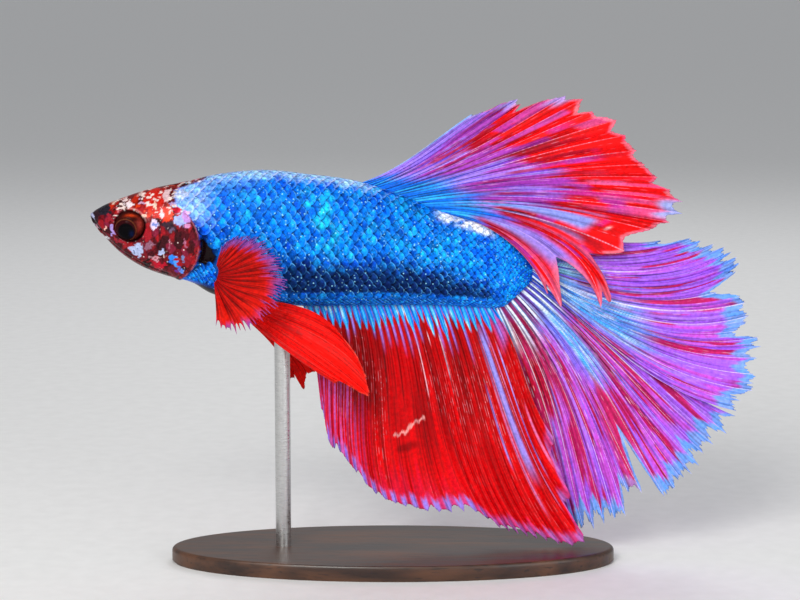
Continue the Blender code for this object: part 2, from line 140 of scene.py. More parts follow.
def cobbles(points, size, seed):
    """Cobbles about size across: 1 in the gaps between them, and a number from 0 to 1 for each cobble."""
    spots = points / np.asarray(size, float) + seed * 9.7
    whole = np.floor(spots)
    first = np.full(spots.shape[:-1], 9.0)
    second, number = first, np.zeros_like(first)
    for step in itertools.product((-1, 0, 1), repeat=3):
        cell = whole + step
        mixed = np.sin(cell @ COBBLE_HASH) * HASH_SCALE
        jitter = mixed - np.floor(mixed)
        away = np.linalg.norm(cell + 0.1 + 0.8 * jitter - spots, axis=-1)
        nearer = away < first
        second = np.where(nearer, first, np.minimum(second, away))
        number = np.where(nearer, jitter[..., 1], number)
        first = np.where(nearer, away, first)
    return 1 - soft(second - first, 0.02, 0.22), number


def picked(number, codes):
    """A colour out of a few for each number from 0 to 1."""
    shades = np.array([hex_colour(code) for code in codes])
    return shades[np.minimum((number * len(codes)).astype(int), len(codes) - 1)]


def smooth_rows(rows, at):
    """The values between the rows of a table whose first column says where they stand, on a smooth curve."""
    rows, at = np.asarray(rows, float), np.asarray(at, float)
    stand, last = rows[:, 0], len(rows) - 1
    number = np.arange(last + 1)
    before, after = np.maximum(number - 1, 0), np.minimum(number + 1, last)
    slope = (rows[after, 1:] - rows[before, 1:]) / (stand[after] - stand[before])[:, None]
    i = np.clip(np.searchsorted(stand, at, side="right") - 1, 0, last - 1)
    span = (stand[i + 1] - stand[i])[..., None]
    share = ((at - stand[i])[..., None]) / span
    return (
        rows[i, 1:] * (2 * share**3 - 3 * share**2 + 1)
        + slope[i] * span * (share**3 - 2 * share**2 + share)
        + rows[i + 1, 1:] * (3 * share**2 - 2 * share**3)
        + slope[i + 1] * span * (share**3 - share**2)
    )


def ribs_at(t):
    numbered = np.column_stack((np.arange(len(RIBS)), RIBS))
    return np.moveaxis(smooth_rows(numbered, t * (len(RIBS) - 1)), -1, 0)


def signed_power(value, exponent):
    return np.copysign(np.abs(value) ** exponent, value)


def on_body(t, angle, grow=0.0):
    """Places on the body at t from snout to tail and at an angle round it, 0 on the left side and a quarter
    turn on the back."""
    back_x, back_z, belly_x, belly_z, half = ribs_at(t)
    depth = np.maximum(np.hypot(back_x - belly_x, back_z - belly_z), 1e-6)
    rise_x, rise_z = (back_x - belly_x) / depth, (back_z - belly_z) / depth
    up = signed_power(np.sin(angle), ROUNDNESS)
    out = signed_power(np.cos(angle), ROUNDNESS)
    reach = depth * np.where(up > 0, 1 - WIDEST, WIDEST)
    along = depth * WIDEST + up * (reach + grow)
    ends = signed_power(np.cos(math.pi * t), 9)
    return np.stack(
        (belly_x + rise_x * along - grow * ends, -out * (half + grow), belly_z + rise_z * along), -1
    )


T_TABLE = np.linspace(0, 1, 4001)
BACK_AFT, BACK_UP, BELLY_AFT, BELLY_UP, _ = ribs_at(T_TABLE)


def t_at(aft):
    return np.interp(aft, BACK_AFT, T_TABLE)


def height_share(aft, up):
    """Height of a place between the belly, 0, and the back, 1."""
    back, belly = np.interp(aft, BACK_AFT, BACK_UP), np.interp(aft, BELLY_AFT, BELLY_UP)
    return (up - belly) / np.maximum(back - belly, 0.1)


def line_distance(aft, up, line):
    """Distance of places from a line through a few points, all seen from the side."""
    found = np.full(np.shape(aft), 1e9)
    for (x0, z0), (x1, z1) in zip(line, line[1:]):
        run = np.array((x1 - x0, z1 - z0))
        share = np.clip(((aft - x0) * run[0] + (up - z0) * run[1]) / (run @ run), 0, 1)
        found = np.minimum(found, np.hypot(aft - x0 - share * run[0], up - z0 - share * run[1]))
    return found


# Landmarks of the head. The gill cover's rear edge is an arc, and the gill opening shows behind it.
eye_low, eye_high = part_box("eye_left")
eye_middle = (eye_low + eye_high) / 2 / MM
EYE_AFT, EYE_UP = eye_middle.x - SNOUT_X, eye_middle.z - SNOUT_Z
EYE_RADIUS = (eye_high.x - eye_low.x) / 2 / MM
GILL_AFT, GILL_UP, GILL_RADIUS = 7.2, -2.6, 4.37
GAPE = ((-0.1, 0.12), (0.45, -0.32), (1.3, -1.3))
JAW_LINE = ((1.3, -1.3), (2.2, -2.45), (3.6, -3.6), (5.6, -4.75), (8.4, -5.85))
CHEEK_LINE = ((7.45, -0.5), (7.5, -2.4), (7.0, -3.7), (5.9, -4.5))
NOSTRIL = (2.75, 0.75)
MOUTH_END = 2.3


def gill_opening(aft, up):
    """1 in the dark opening behind the gill cover, and 0 outside it."""
    past = np.hypot(aft - GILL_AFT, up - GILL_UP) - GILL_RADIUS
    off_middle = np.hypot((aft - 11.75) / 1.5, (up + 3.4 + 0.25 * (aft - 11.75)) / 1.45)
    return soft(past, 0.0, 0.12) * (1 - soft(off_middle, 0.86, 1.04)) * soft(aft, 10.0, 10.6)


def head_relief(aft, up):
    """Height of the head's folds over the smooth body."""
    from_eye = np.hypot(aft - EYE_AFT, up - EYE_UP)
    relief = -1.1 * (1 - soft(from_eye, EYE_RADIUS - 0.32, EYE_RADIUS + 0.02))
    relief += 0.09 * np.exp(-(((from_eye - EYE_RADIUS - 0.2) / 0.16) ** 2))
    from_gill = np.hypot(aft - GILL_AFT, up - GILL_UP)
    bearing = np.degrees(np.arctan2(up - GILL_UP, aft - GILL_AFT))
    rear = soft(bearing, -75, -60) * (1 - soft(bearing, 42, 55))
    inside = soft(from_gill, GILL_RADIUS - 1.3, GILL_RADIUS - 0.12) * (from_gill < GILL_RADIUS)
    past = from_gill - GILL_RADIUS
    relief += rear * (0.17 * inside - 0.34 * (past >= 0) * np.exp(-np.maximum(past, 0) / 0.3))
    relief -= 0.75 * gill_opening(aft, up)
    relief -= 0.06 * np.exp(-(((from_gill - GILL_RADIUS + 0.42) / 0.08) ** 2)) * rear
    relief -= 0.26 * np.exp(-((line_distance(aft, up, GAPE) / 0.1) ** 2))
    relief += 0.1 * np.exp(-(((line_distance(aft, up, GAPE) - 0.3) / 0.16) ** 2))
    relief -= 0.07 * np.exp(-((line_distance(aft, up, JAW_LINE) / 0.1) ** 2))
    relief -= 0.1 * np.exp(-((line_distance(aft, up, CHEEK_LINE) / 0.1) ** 2))
    relief -= 0.22 * np.exp(-((np.hypot(aft - NOSTRIL[0], up - NOSTRIL[1]) / 0.11) ** 2))
    return relief


# Colours of the skin, which the scales carry too.
FLANK_BLUE = hex_colour("#0072FA")
FLANK_DEEP = hex_colour("#004CDC")
FLANK_LIGHT = hex_colour("#1CA4FF")
TURQUOISE = hex_colour("#1ED6F6")
BACK_LILAC = hex_colour("#8CBCFF")
NAPE_LILAC = hex_colour("#6E9EFF")
CREAM = hex_colour("#E4E8FF")
NAVY = hex_colour("#081A48")
BELLY_BLUE = hex_colour("#0C66D8")
THROAT = hex_colour("#2C1A2C")
CHEEK_COBBLES = ("#74101E", "#4A0A16", "#90141F", "#62101E", "#9C121C", "#380A12", "#7C1A34", "#700C18")
CROWN_COBBLES = ("#B01008", "#8C0A0C", "#C8280A", "#620810", "#B4180A", "#7E0A0E", "#CC340E", "#4A070E")
FLECK = hex_colour("#F3DCD8")
CROWN_FLECK = FLECK * 0.85
# Painted shade for the gill opening, the grooves of mouth, cheek and jaw, the eye socket and the nostril
HOLLOW_SHADE = hex_colour("#140508")
# Marks of the head, a few of them painted highlights on the lips and jaw: (aft, up, half its length, half
# its height, colour), each laid over the last
HEAD_MARKS_AND_HIGHLIGHTS = (
    (6.9, 1.75, 1.25, 1.1, "#DC2110"),
    (7.6, 0.7, 1.1, 0.75, "#C81C12"),
    (8.1, 0.5, 0.6, 0.7, "#E82A0E"),
    (6.3, 0.5, 0.55, 0.5, "#E0381E"),
    (5.6, 0.6, 0.45, 0.6, "#A81820"),
    (5.5, 2.3, 0.48, 0.16, "#F6E6E0"),
    (5.6, 1.5, 0.34, 0.2, "#D9B4DC"),
    (4.3, 1.3, 0.44, 0.3, "#FBF2FA"),
    # A painted highlight on the edge of the lower jaw.
    (1.85, -2.3, 0.34, 0.13, "#E6E0EC"),
    (3.8, 1.75, 0.18, 0.28, "#F6E9EE"),
    (2.8, 1.5, 0.22, 0.3, "#EBCBB8"),
    (3.2, 0.8, 0.3, 0.18, "#CB6A74"),
    (7.0, 1.4, 0.2, 0.36, "#F6E0CA"),
    (8.2, 2.2, 0.34, 0.66, "#F3DBE2"),
    (7.7, 0.5, 0.16, 0.52, "#F2D3DA"),
    (8.45, 0.35, 0.44, 0.5, "#F03A0C"),
    (5.9, 0.1, 0.14, 0.32, "#F4C8B4"),
    (7.0, -0.7, 0.42, 0.4, "#E2CDEB"),
    (7.05, -0.72, 0.24, 0.22, "#7688CE"),
    (9.6, 2.4, 0.66, 0.52, "#A9B8F4"),
    (8.9, 1.4, 0.36, 0.27, "#B7AAEA"),
    (9.6, -0.1, 0.64, 0.58, "#A3B4F2"),
    (10.3, 0.35, 0.4, 0.64, "#C08CDC"),
    (10.35, -0.75, 0.36, 0.24, "#CC84B8"),
    (9.3, 0.85, 0.42, 0.24, "#B2102A"),
    (8.45, -0.85, 0.62, 0.5, "#33202E"),
    (8.6, -1.1, 0.2, 0.22, "#6A5672"),
    (6.3, -1.7, 0.55, 0.5, "#9E1524"),
    (6.4, -2.85, 0.42, 0.52, "#8A5A70"),
    (5.1, -3.35, 0.78, 0.74, "#AEBBE2"),
    (5.15, -3.2, 0.12, 0.12, "#3C4874"),
    (4.85, -3.55, 0.1, 0.13, "#55618C"),
    (7.6, -3.5, 0.4, 0.25, "#AAB8E2"),
    (6.8, -4.15, 0.52, 0.16, "#D08E9C"),
    (7.2, -4.8, 0.66, 0.5, "#BC0A28"),
    (5.95, -4.85, 0.55, 0.36, "#26070D"),
    (8.75, -3.95, 0.42, 0.3, "#2C88F2"),
    (8.6, -4.4, 0.3, 0.34, "#2470E0"),
    (9.1, -4.5, 0.26, 0.3, "#4A9CF8"),
    (9.3, -5.0, 0.2, 0.26, "#3A78E4"),
    (9.5, -5.45, 0.22, 0.2, "#5A8CEC"),
    (9.85, -4.05, 0.34, 0.2, "#6A80B4"),
    (8.9, -5.45, 0.3, 0.18, "#6C2E8E"),
    (8.6, -2.7, 0.09, 0.5, "#A85C74"),
    (10.1, -2.5, 0.1, 0.5, "#A8607E"),
    (10.7, -3.0, 0.3, 0.62, "#3E0810"),
    (10.3, -4.2, 0.5, 0.5, "#8C1222"),
    (1.35, 0.85, 1.05, 0.72, "#1E1A26"),
    (0.5, -0.15, 0.75, 0.95, "#2A161F"),
    (2.25, -0.05, 0.4, 0.5, "#8E1A2A"),
    (2.6, -1.35, 0.14, 0.55, "#A890D8"),
    (1.9, -1.0, 0.16, 0.26, "#F0B4AA"),
    (3.2, -2.3, 0.4, 0.35, "#94182A"),
    # Painted highlights: pale marks on the wet rims of the lips, and on the lower jaw's edge.
    (0.3, 0.05, 0.22, 0.62, "#A4A8CC"),
    (0.34, -0.72, 0.2, 0.34, "#AFA2B8"),
    (0.85, -1.15, 0.34, 0.2, "#C498A8"),
    (1.75, -2.15, 0.3, 0.14, "#F0ECF6"),
)


def marked_colour(points):
    """The fish's colours at places on its body, with a few painted highlights on the lips and jaw."""
    aft, y, up = points[..., 0], points[..., 1], points[..., 2]
    share = height_share(aft, up)
    fine, coarse = mottle(points, 0.45, 2), mottle(points, 1.1, 1)
    colour = mix(FLANK_DEEP, FLANK_BLUE, soft(coarse, 0.15, 0.6))
    colour = mix(colour, FLANK_LIGHT, 0.4 * soft(fine, 0.5, 0.85))
    shimmer = np.exp(-(((aft - 24.6 + 0.3 * (up + 2)) / 1.5) ** 2))
    shimmer *= soft(share, 0.35, 0.6) * soft(1 - share, 0.05, 0.2)
    shimmer += 0.35 * np.exp(-(((aft - 33) / 5) ** 2)) * soft(share, 0.3, 0.5)
    colour = mix(colour, TURQUOISE, shimmer * soft(mottle(points, 0.7, 3), 0.25, 0.8) * 0.8)
    colour = mix(colour, BACK_LILAC, 0.8 * soft(share + 0.05 * coarse, 0.955, 1.01) * (1 - soft(aft, 27, 30)))
    nape = (1 - soft(aft + 1.5 * (coarse - 0.5) - 0.25 * up, 10.6, 13.2)) * soft(up, -1.0, 0.5)
    nape = np.maximum(nape, 0.4 * (1 - soft(aft, 15, 19)) * soft(share, 0.82, 0.96))
    colour = mix(colour, NAPE_LILAC, nape)
    cream = soft(share, 0.87, 0.95) * soft(aft, 34.8, 36.6) * (1 - soft(aft, 40.2, 41.8))
    colour = mix(colour, CREAM, 0.95 * cream * soft(mottle(points, 0.5, 4), 0.1, 0.5))
    top = np.interp(aft, (19, 31, 37, 41.5), (-4.3, -5.0, -5.8, -7.6))
    bottom = np.interp(aft, (19, 31, 37, 41.5), (-7.85, -7.9, -8.3, -8.7))
    colour = mix(colour, BELLY_BLUE, 1 - soft(up, bottom - 0.2, bottom + 0.2))
    band = soft(up, bottom - 0.05, bottom + 0.35) * (1 - soft(up + 1.6 * (fine - 0.5), top - 0.9, top + 1.7))
    band *= soft(aft, 17.5, 21) * (1 - soft(aft, 41.2, 42.8))
    colour = mix(colour, NAVY, 0.94 * band)
    throat = 1 - soft(up + 0.35 * (aft - 11.5) * (aft > 11.5), -7.1, -6.5)
    colour = mix(colour, THROAT, throat * (1 - soft(aft, 14.2, 15.2)))

    bent = points + 0.35 * (np.stack([mottle(points, 0.4, seed) for seed in (35, 36, 37)], -1) - 0.5)
    gap, pick = cobbles(bent, (0.72, 1.1, 0.92), 5)
    low_head, top_head = picked(pick, CHEEK_COBBLES), picked(pick, CROWN_COBBLES)
    crownward = soft(up + 0.1 * aft + 0.5 * (coarse - 0.5), 0.45, 1.15)
    head = mix(low_head, top_head, crownward)
    head = head * (0.7 + 0.6 * mottle(points, (0.22, 0.3, 0.5), 6))[..., None]
    head = mix(head, head * 0.22, 0.65 * gap)
    ragged = mottle(points, 0.3, 7) - 0.5
    warp_aft = 0.5 * (mottle(points, 0.55, 31) - 0.5) + 0.5 * (mottle(points, 0.22, 32) - 0.5)
    warp_up = 0.5 * (mottle(points, 0.55, 33) - 0.5) + 0.5 * (mottle(points, 0.22, 34) - 0.5)
    gill_edge = np.hypot(aft - GILL_AFT, up - GILL_UP)
    crown = soft(up - 2.75 - 0.36 * (aft - 8.9), -0.15, 0.1) * (1 - soft(aft, 11.6, 12.6))
    on_head = np.maximum(1 - soft(aft + 0.8 * ragged, 8.6, 9.3), crown)
    on_head = np.maximum(on_head, (1 - soft(gill_edge, GILL_RADIUS - 0.05, GILL_RADIUS + 0.08)))
    colour = mix(colour, head, on_head)
    # Both sides share the broad marks and those of the mouth, and the right side has the others moved.
    on_right = np.where(y > 0, 1.0, 0.0)
    for number, (mark_aft, mark_up, length, height, code) in enumerate(HEAD_MARKS_AND_HIGHLIGHTS):
        moved_aft, moved_up = on_right * 0.45 * np.sin(number * 2.4), on_right * 0.35 * np.cos(number * 3.1)
        if length > 1 or mark_aft < MOUTH_END:
            moved_aft = moved_up = 0.0
        off_aft = (aft + warp_aft - mark_aft - moved_aft) / length
        off_up = (up + warp_up - mark_up - moved_up) / height
        colour = mix(colour, hex_colour(code), 1 - soft(np.hypot(off_aft, off_up), 0.9, 1.06))
    colour = mix(colour, colour * (0.72, 0.6, 0.6), on_head * soft(up, 0.4, 1.8))
    flecks = 0.6 * mottle(points, (0.46, 0.4, 0.24), 8) + 0.4 * mottle(points, 0.18, 38)
    crown_zone = soft(share, 0.7, 0.95) * soft(aft, 2.4, 3.2) * on_head
    colour = mix(colour, CROWN_FLECK, soft(flecks + 0.05 * crown_zone, 0.67, 0.7) * (crown_zone > 0))
    specks = mottle(points, 0.16, 9)
    colour = mix(colour, FLECK, 0.6 * soft(specks, 0.88, 0.95) * on_head * soft(aft, 2.2, 3))
    return colour


def skin_colour(points):
    """The markings, with painted shade in folds, hollows and under the scales, and lip and gill cover rims
    picked out.
    """
    aft, up = points[..., 0], points[..., 2]
    colour = marked_colour(points)
    past_gill = np.hypot(aft - GILL_AFT, up - GILL_UP) - GILL_RADIUS
    # Painted shade: the skin behind the gill cover, which lies under the scales, is darkened.
    colour = mix(colour, colour * 0.3, np.minimum(soft(aft, 10.2, 12.6), soft(past_gill, 0.0, 0.3)))
    # Painted shade fills the gill opening.
    colour = mix(colour, HOLLOW_SHADE, gill_opening(aft, up))
    # Painted shade in the grooves of the gape, cheek and jaw.
    for line, width, amount in ((GAPE, 0.12, 0.9), (CHEEK_LINE, 0.1, 0.75), (JAW_LINE, 0.07, 0.5)):
        colour = mix(colour, HOLLOW_SHADE, amount * np.exp(-((line_distance(aft, up, line) / width) ** 2)))
    rim = np.abs(past_gill + 0.07) < 0.07
    rear = (aft > 8.6) & (up > -6)
    colour = mix(colour, hex_colour("#C46A76"), 0.55 * (rim & rear) * soft(mottle(points, 0.4, 10), 0.3, 0.6))
    from_eye = np.hypot(aft - EYE_AFT, up - EYE_UP)
    # Painted shade in the eye socket.
    colour = mix(colour, HOLLOW_SHADE, 1 - soft(from_eye, EYE_RADIUS - 0.05, EYE_RADIUS + 0.1))
    arc = np.exp(-(((from_eye - EYE_RADIUS - 0.17) / 0.07) ** 2)) * soft(up - EYE_UP, 0.3, 0.9)
    colour = mix(colour, hex_colour("#D8A8A4"), 0.5 * arc * soft(aft, EYE_AFT - 0.7, EYE_AFT - 0.2))
    # Painted shade in the nostril.
    return mix(colour, HOLLOW_SHADE, np.exp(-((np.hypot(aft - NOSTRIL[0], up - NOSTRIL[1]) / 0.13) ** 2)))


def make_piece(name, points, quads, colours, spots, tris=(), **numbers):
    """A piece from places on the fish, faces, a colour and perhaps other numbers at each place, and the place
    of each face corner on its bake map."""
    mesh = bpy.data.meshes.new(name)
    placed = (points + (SNOUT_X, 0.0, SNOUT_Z)) * MM
    quads, tris = np.asarray(quads, np.int32).reshape(-1, 4), np.asarray(tris, np.int32).reshape(-1, 3)
    corners = np.concatenate((quads.ravel(), tris.ravel()))
    starts = np.concatenate((np.arange(len(quads)) * 4, len(quads) * 4 + np.arange(len(tris)) * 3))
    mesh.vertices.add(len(placed))
    mesh.vertices.foreach_set("co", placed.astype(np.float32).ravel())
    mesh.loops.add(len(corners))
    mesh.loops.foreach_set("vertex_index", corners)
    mesh.polygons.add(len(starts))
    mesh.polygons.foreach_set("loop_start", starts.astype(np.int32))
    mesh.update(calc_edges=True)
    layer = mesh.uv_layers.new(name="OFBake")
    layer.uv.foreach_set("vector", np.asarray(spots, np.float32).reshape(-1))
    shade = mesh.color_attributes.new("pigment", "FLOAT_COLOR", "POINT")
    solid = np.column_stack((np.clip(colours, 0, 1), np.ones(len(colours))))
    shade.data.foreach_set("color", solid.astype(np.float32).ravel())
    for key, values in numbers.items():
        mesh.attributes.new(key, "FLOAT", "POINT").data.foreach_set(
            "value", np.asarray(values, np.float32).ravel()
        )
    mesh.shade_smooth()
    piece = bpy.data.objects.new(name, mesh)
    bpy.context.scene.collection.objects.link(piece)
    return piece


def add_node(tree, kind, inputs=(), output=0, **settings):
    """Adds a shader node with its settings, and its inputs by name or in their order, as values or as sockets
    to link. It gives one of the node's outputs."""
    made = tree.nodes.new(kind)
    for key, value in settings.items():
        setattr(made, key, value)
    for key, value in inputs.items() if isinstance(inputs, dict) else enumerate(inputs):
        if isinstance(value, bpy.types.NodeSocket):
            tree.links.new(value, made.inputs[key])
        else:
            made.inputs[key].default_value = value
    return made.outputs[output]


def new_material(name, **finish):
    """A material and its node tree, with the finish's uniform values on the shader's own sockets."""
    material = bpy.data.materials.new(name)
    material.use_nodes = True
    for key, value in finish.items():
        material.node_tree.nodes["Principled BSDF"].inputs[key.replace("_", " ")].default_value = value
    return material, material.node_tree


def vary(tree, **sockets):
    """Links what varies over the surface, such as Base_Color, to the material's shader."""
    for key, socket in sockets.items():
        tree.links.new(socket, tree.nodes["Principled BSDF"].inputs[key.replace("_", " ")])


def pigmented(tree, grain_size, detail, span, tones):
    """A piece's own colours under a fine grain, and then the pigment, the grain and the place behind it."""
    place = add_node(tree, "ShaderNodeTexCoord", output="Object")
    grain = add_node(
        tree, "ShaderNodeTexNoise", {"Vector": place, "Scale": 1 / (grain_size * MM), "Detail": detail}
    )
    tone = add_node(tree, "ShaderNodeMapRange", (grain, *span, *tones))
    pigment = add_node(tree, "ShaderNodeAttribute", attribute_name="pigment")
    tinted = add_node(tree, "ShaderNodeVectorMath", (pigment, tone), operation="MULTIPLY")
    return tinted, pigment, grain, place


def covered(tree, base, over, *amounts):
    """The base colour with another laid over it by the product of a few amounts."""
    amount = amounts[0]
    for factor in amounts[1:]:
        amount = add_node(tree, "ShaderNodeMath", (amount, factor), operation="MULTIPLY")
    return add_node(tree, "ShaderNodeMix", {0: amount, 6: base, 7: over}, 2, data_type="RGBA")


# Radii in millimetres of the bright middle of a glint and of its faint edge
GLINT_MIDDLE, GLINT_EDGE = 0.03, 0.1


def glinting(tree, base, place, spread, chosen, code):
    """The base colour with painted glints about spread apart, in the cells whose random number is over chosen.
    """
    crystals = {"Vector": place, "Scale": 1 / (spread * MM)}
    cell = add_node(tree, "ShaderNodeTexVoronoi", crystals, "Color")
    facing = add_node(tree, "ShaderNodeSeparateColor", (cell,))
    away = cell.node.outputs["Distance"]
    dot = add_node(tree, "ShaderNodeMapRange", (away, GLINT_MIDDLE / spread, GLINT_EDGE / spread, 1.0, 0.0))
    seen = add_node(tree, "ShaderNodeMapRange", (facing, chosen, chosen + 0.3, 0.0, 0.95))
    return covered(tree, base, (*hex_colour(code), 1.0), dot, seen)


# Fish skin: wet, so it is glossy with soft highlights, and painted glints add its tiny wet sparkles. Its pores
# are under 0.1 mm apart, too fine to show, and are drawn at 0.22 mm.
SKIN_GRAIN = (0.3, 0.7)
wet_skin, tree = new_material(
    "wet_fish_skin", Roughness=0.3, IOR=1.35, Specular_IOR_Level=0.18, Coat_Weight=0.05, Coat_Roughness=0.1
)
marbling, _, skin_grain, place = pigmented(tree, 0.25, 3.0, SKIN_GRAIN, (0.8, 1.25))
pores = add_node(tree, "ShaderNodeTexVoronoi", {"Vector": place, "Scale": 1 / (0.22 * MM)})
vary(
    tree,
    Base_Color=glinting(tree, marbling, place, 0.6, 0.6, "#FFE9E4"),
    Roughness=add_node(tree, "ShaderNodeMapRange", (skin_grain, *SKIN_GRAIN, 0.2, 0.42)),
    Normal=add_node(tree, "ShaderNodeBump", {"Strength": 0.35, "Distance": 0.03 * MM, "Height": pores}),
)

HEAD_STEP, TRUNK_STEP = 0.09, 0.22
BREAST_AFT = 12.6
SKIN_SIDES = 256


def skin_rings():
    """t of the skin's rings, a head step apart as far as the breast and a trunk step behind it."""
    found = []
    for number in range(len(RIBS) - 1):
        gap = max(RIBS[number + 1, 0] - RIBS[number, 0], 0.7)
        steps = math.ceil(gap / (HEAD_STEP if RIBS[number, 0] < BREAST_AFT else TRUNK_STEP))
        found.extend((number + np.arange(steps) / steps) / (len(RIBS) - 1))
    return np.array(found[1:])


def hoop_faces(rings, sides):
    """Quads between the rings of a body, and triangles that close its ends on two more points."""
    ring, side = np.meshgrid(np.arange(rings - 1), np.arange(sides), indexing="ij")
    here, beside = ring * sides + side, ring * sides + (side + 1) % sides
    quads = np.stack((here, beside, beside + sides, here + sides), -1).reshape(-1, 4)
    turn, on = np.arange(sides), (np.arange(sides) + 1) % sides
    last = (rings - 1) * sides
    first_cap = np.stack((np.full(sides, rings * sides), on, turn), -1)
    last_cap = np.stack((np.full(sides, rings * sides + 1), last + turn, last + on), -1)
    return quads, np.concatenate((first_cap, last_cap))


def half_map(t, turn, right):
    """The place on the skin's unwrap of t from snout to tail and of a turn round the body that starts at the
    belly: the left side fills the lower half of the map and the right side the upper half."""
    across = np.where(right, turn * 2 - 1, turn * 2)
    return np.stack((0.02 + 0.96 * t, 0.02 + 0.46 * across + np.where(right, 0.5, 0.0)), -1)


def skin_map(ring_t, quads):
    """Places on the unwrap of the skin's face corners."""
    side = quads[:, 0] % SKIN_SIDES
    turn = (side[:, None] + (0, 0, 1, 1)) / SKIN_SIDES
    right = np.repeat((side >= SKIN_SIDES // 2)[:, None], 4, axis=1)
    spots = [half_map(ring_t[quads // SKIN_SIDES], turn, right)]
    side = np.arange(SKIN_SIDES)
    turn = np.stack((side + 0.5, side, side + 1), -1) / SKIN_SIDES
    right = np.repeat((side >= SKIN_SIDES // 2)[:, None], 3, axis=1)
    for end, ring, order in ((0.0, ring_t[0], (0, 1, 2)), (1.0, ring_t[-1], (0, 2, 1))):
        spots.append(half_map(np.broadcast_to((end, ring, ring), turn.shape), turn[:, order], right))
    return np.concatenate([spot.reshape(-1, 2) for spot in spots])


ring_t = skin_rings()
ring_angle = -math.pi / 2 + 2 * math.pi * np.arange(SKIN_SIDES) / SKIN_SIDES
t_grid, angle_grid = np.meshgrid(ring_t, ring_angle, indexing="ij")
skin_places = on_body(t_grid, angle_grid, -SCALE_DEPTH)
along_body = np.gradient(skin_places, axis=0)
round_body = np.roll(skin_places, -1, axis=1) - np.roll(skin_places, 1, axis=1)
outward = np.cross(along_body, round_body)
outward /= np.maximum(np.linalg.norm(outward, axis=-1, keepdims=True), 1e-9)
flank_facing = np.abs(outward[..., 1])
lift = head_relief(skin_places[..., 0], skin_places[..., 2])
lift = np.where(lift < 0, lift * soft(flank_facing, 0.1, 0.4), lift * soft(flank_facing, 0.05, 0.3))
skin_places = skin_places + outward * (lift * (1 - soft(skin_places[..., 0], 13.6, 14.6)))[..., None]
skin_ends = on_body(np.array((0.0, 1.0)), np.zeros(2))
skin_ends[:, 0] += SCALE_DEPTH, -SCALE_DEPTH
skin_places = np.concatenate((skin_places.reshape(-1, 3), skin_ends))
quads, tris = hoop_faces(len(ring_t), SKIN_SIDES)
skin_quads, skin_tris = quads[:, (0, 3, 2, 1)], tris[:, (0, 2, 1)]
skin = make_piece(
    "fish_skin", skin_places, skin_quads, skin_colour(skin_places), skin_map(ring_t, skin_quads), skin_tris
)
skin.data.materials.append(wet_skin)
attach(skin, "root")
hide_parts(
    "head",
    "lower_jaw",
    "gill_cover_left",
    "gill_cover_right",
    "trunk_front",
    "trunk_middle",
    "trunk_rear",
    "tail_stalk",
)

# -------------------------------------------------------------------------------------------------- scales
# Each scale is a thin bony plate with a clear, iridescent coat of guanine crystals. Its front is set in the
# skin and its round rear edge lies over the next ones, in rows that shift by half a scale, like roof tiles.

SCALE_GRID = {
    "large": (-1, -0.86, -0.6, -0.3, 0, 0.3, 0.6, 0.86, 1),
    "small": (-1, -0.8, -0.4, 0, 0.4, 0.8, 1),
}
# Half of a plate's length, in pitches along the body, and half of its width, in gaps between rows
PLATE_LENGTH, PLATE_WIDTH = 0.72, 1.06
SCALE_PATCH = 0.0016  # half the side of a scale's patch on the bake map
# How far the rear edges stand off the skin: flank, belly and tail stalk, breast
SCALE_LIFT, SMALL_LIFT, BREAST_LIFT = 0.13, 0.09, 0.07
rng = np.random.default_rng(11)

SIDE_ANGLES = np.radians(np.linspace(90, -90, 121))


def way_round(t):
    """Distances on the skin from the back, down the left side, to each of the side's angles."""
    places = on_body(np.broadcast_to(t, (len(SIDE_ANGLES), len(t))), SIDE_ANGLES[:, None])
    steps = np.linalg.norm(np.diff(places, axis=0), axis=-1)
    return np.concatenate((np.zeros((1, len(t))), np.cumsum(steps, axis=0)))


def angle_at(t, share):
    """Angle round the left side at a share of the way, measured on the skin, from the back to the belly."""
    way = way_round(t)
    return np.array([np.interp(share, column, SIDE_ANGLES) for column in (way / way[-1]).T])


def scale_rows(start, stop, pitch, first_share, last_share, rows):
    """Roots of scales in offset rows: (t, angle, pitch along the body, gap between rows, row number)."""
    columns = [start]
    while columns[-1] < stop:
        columns.append(columns[-1] + pitch(columns[-1]) / 2)
    columns = np.array(columns)
    found = []
    for row, share in enumerate(np.linspace(first_share, last_share, rows)):
        aft = columns[row % 2 :: 2]
        t = t_at(aft)
        spacing = way_round(t)[-1] * (last_share - first_share) / (rows - 1)
        found.append(np.column_stack((t, angle_at(t, share), pitch(aft), spacing, np.full(len(t), row))))
    return np.concatenate(found)


def main_pitch(aft):
    return np.interp(aft, (4.5, 8.0, 10.5, 14.0, 30.0, 38.0, 43.0), (0.62, 0.8, 1.12, 1.02, 0.93, 0.78, 0.6))


def small_pitch(aft):
    return np.interp(aft, (14.0, 40.0, 46.0), (0.52, 0.48, 0.42))


def sheet_faces(across, deep):
    """Quads of a sheet of so many points across and so many deep."""
    i, j = np.meshgrid(np.arange(across - 1), np.arange(deep - 1), indexing="ij")
    here = i * deep + j
    return np.stack((here, here + 1, here + deep + 1, here + deep), -1).reshape(-1, 4)


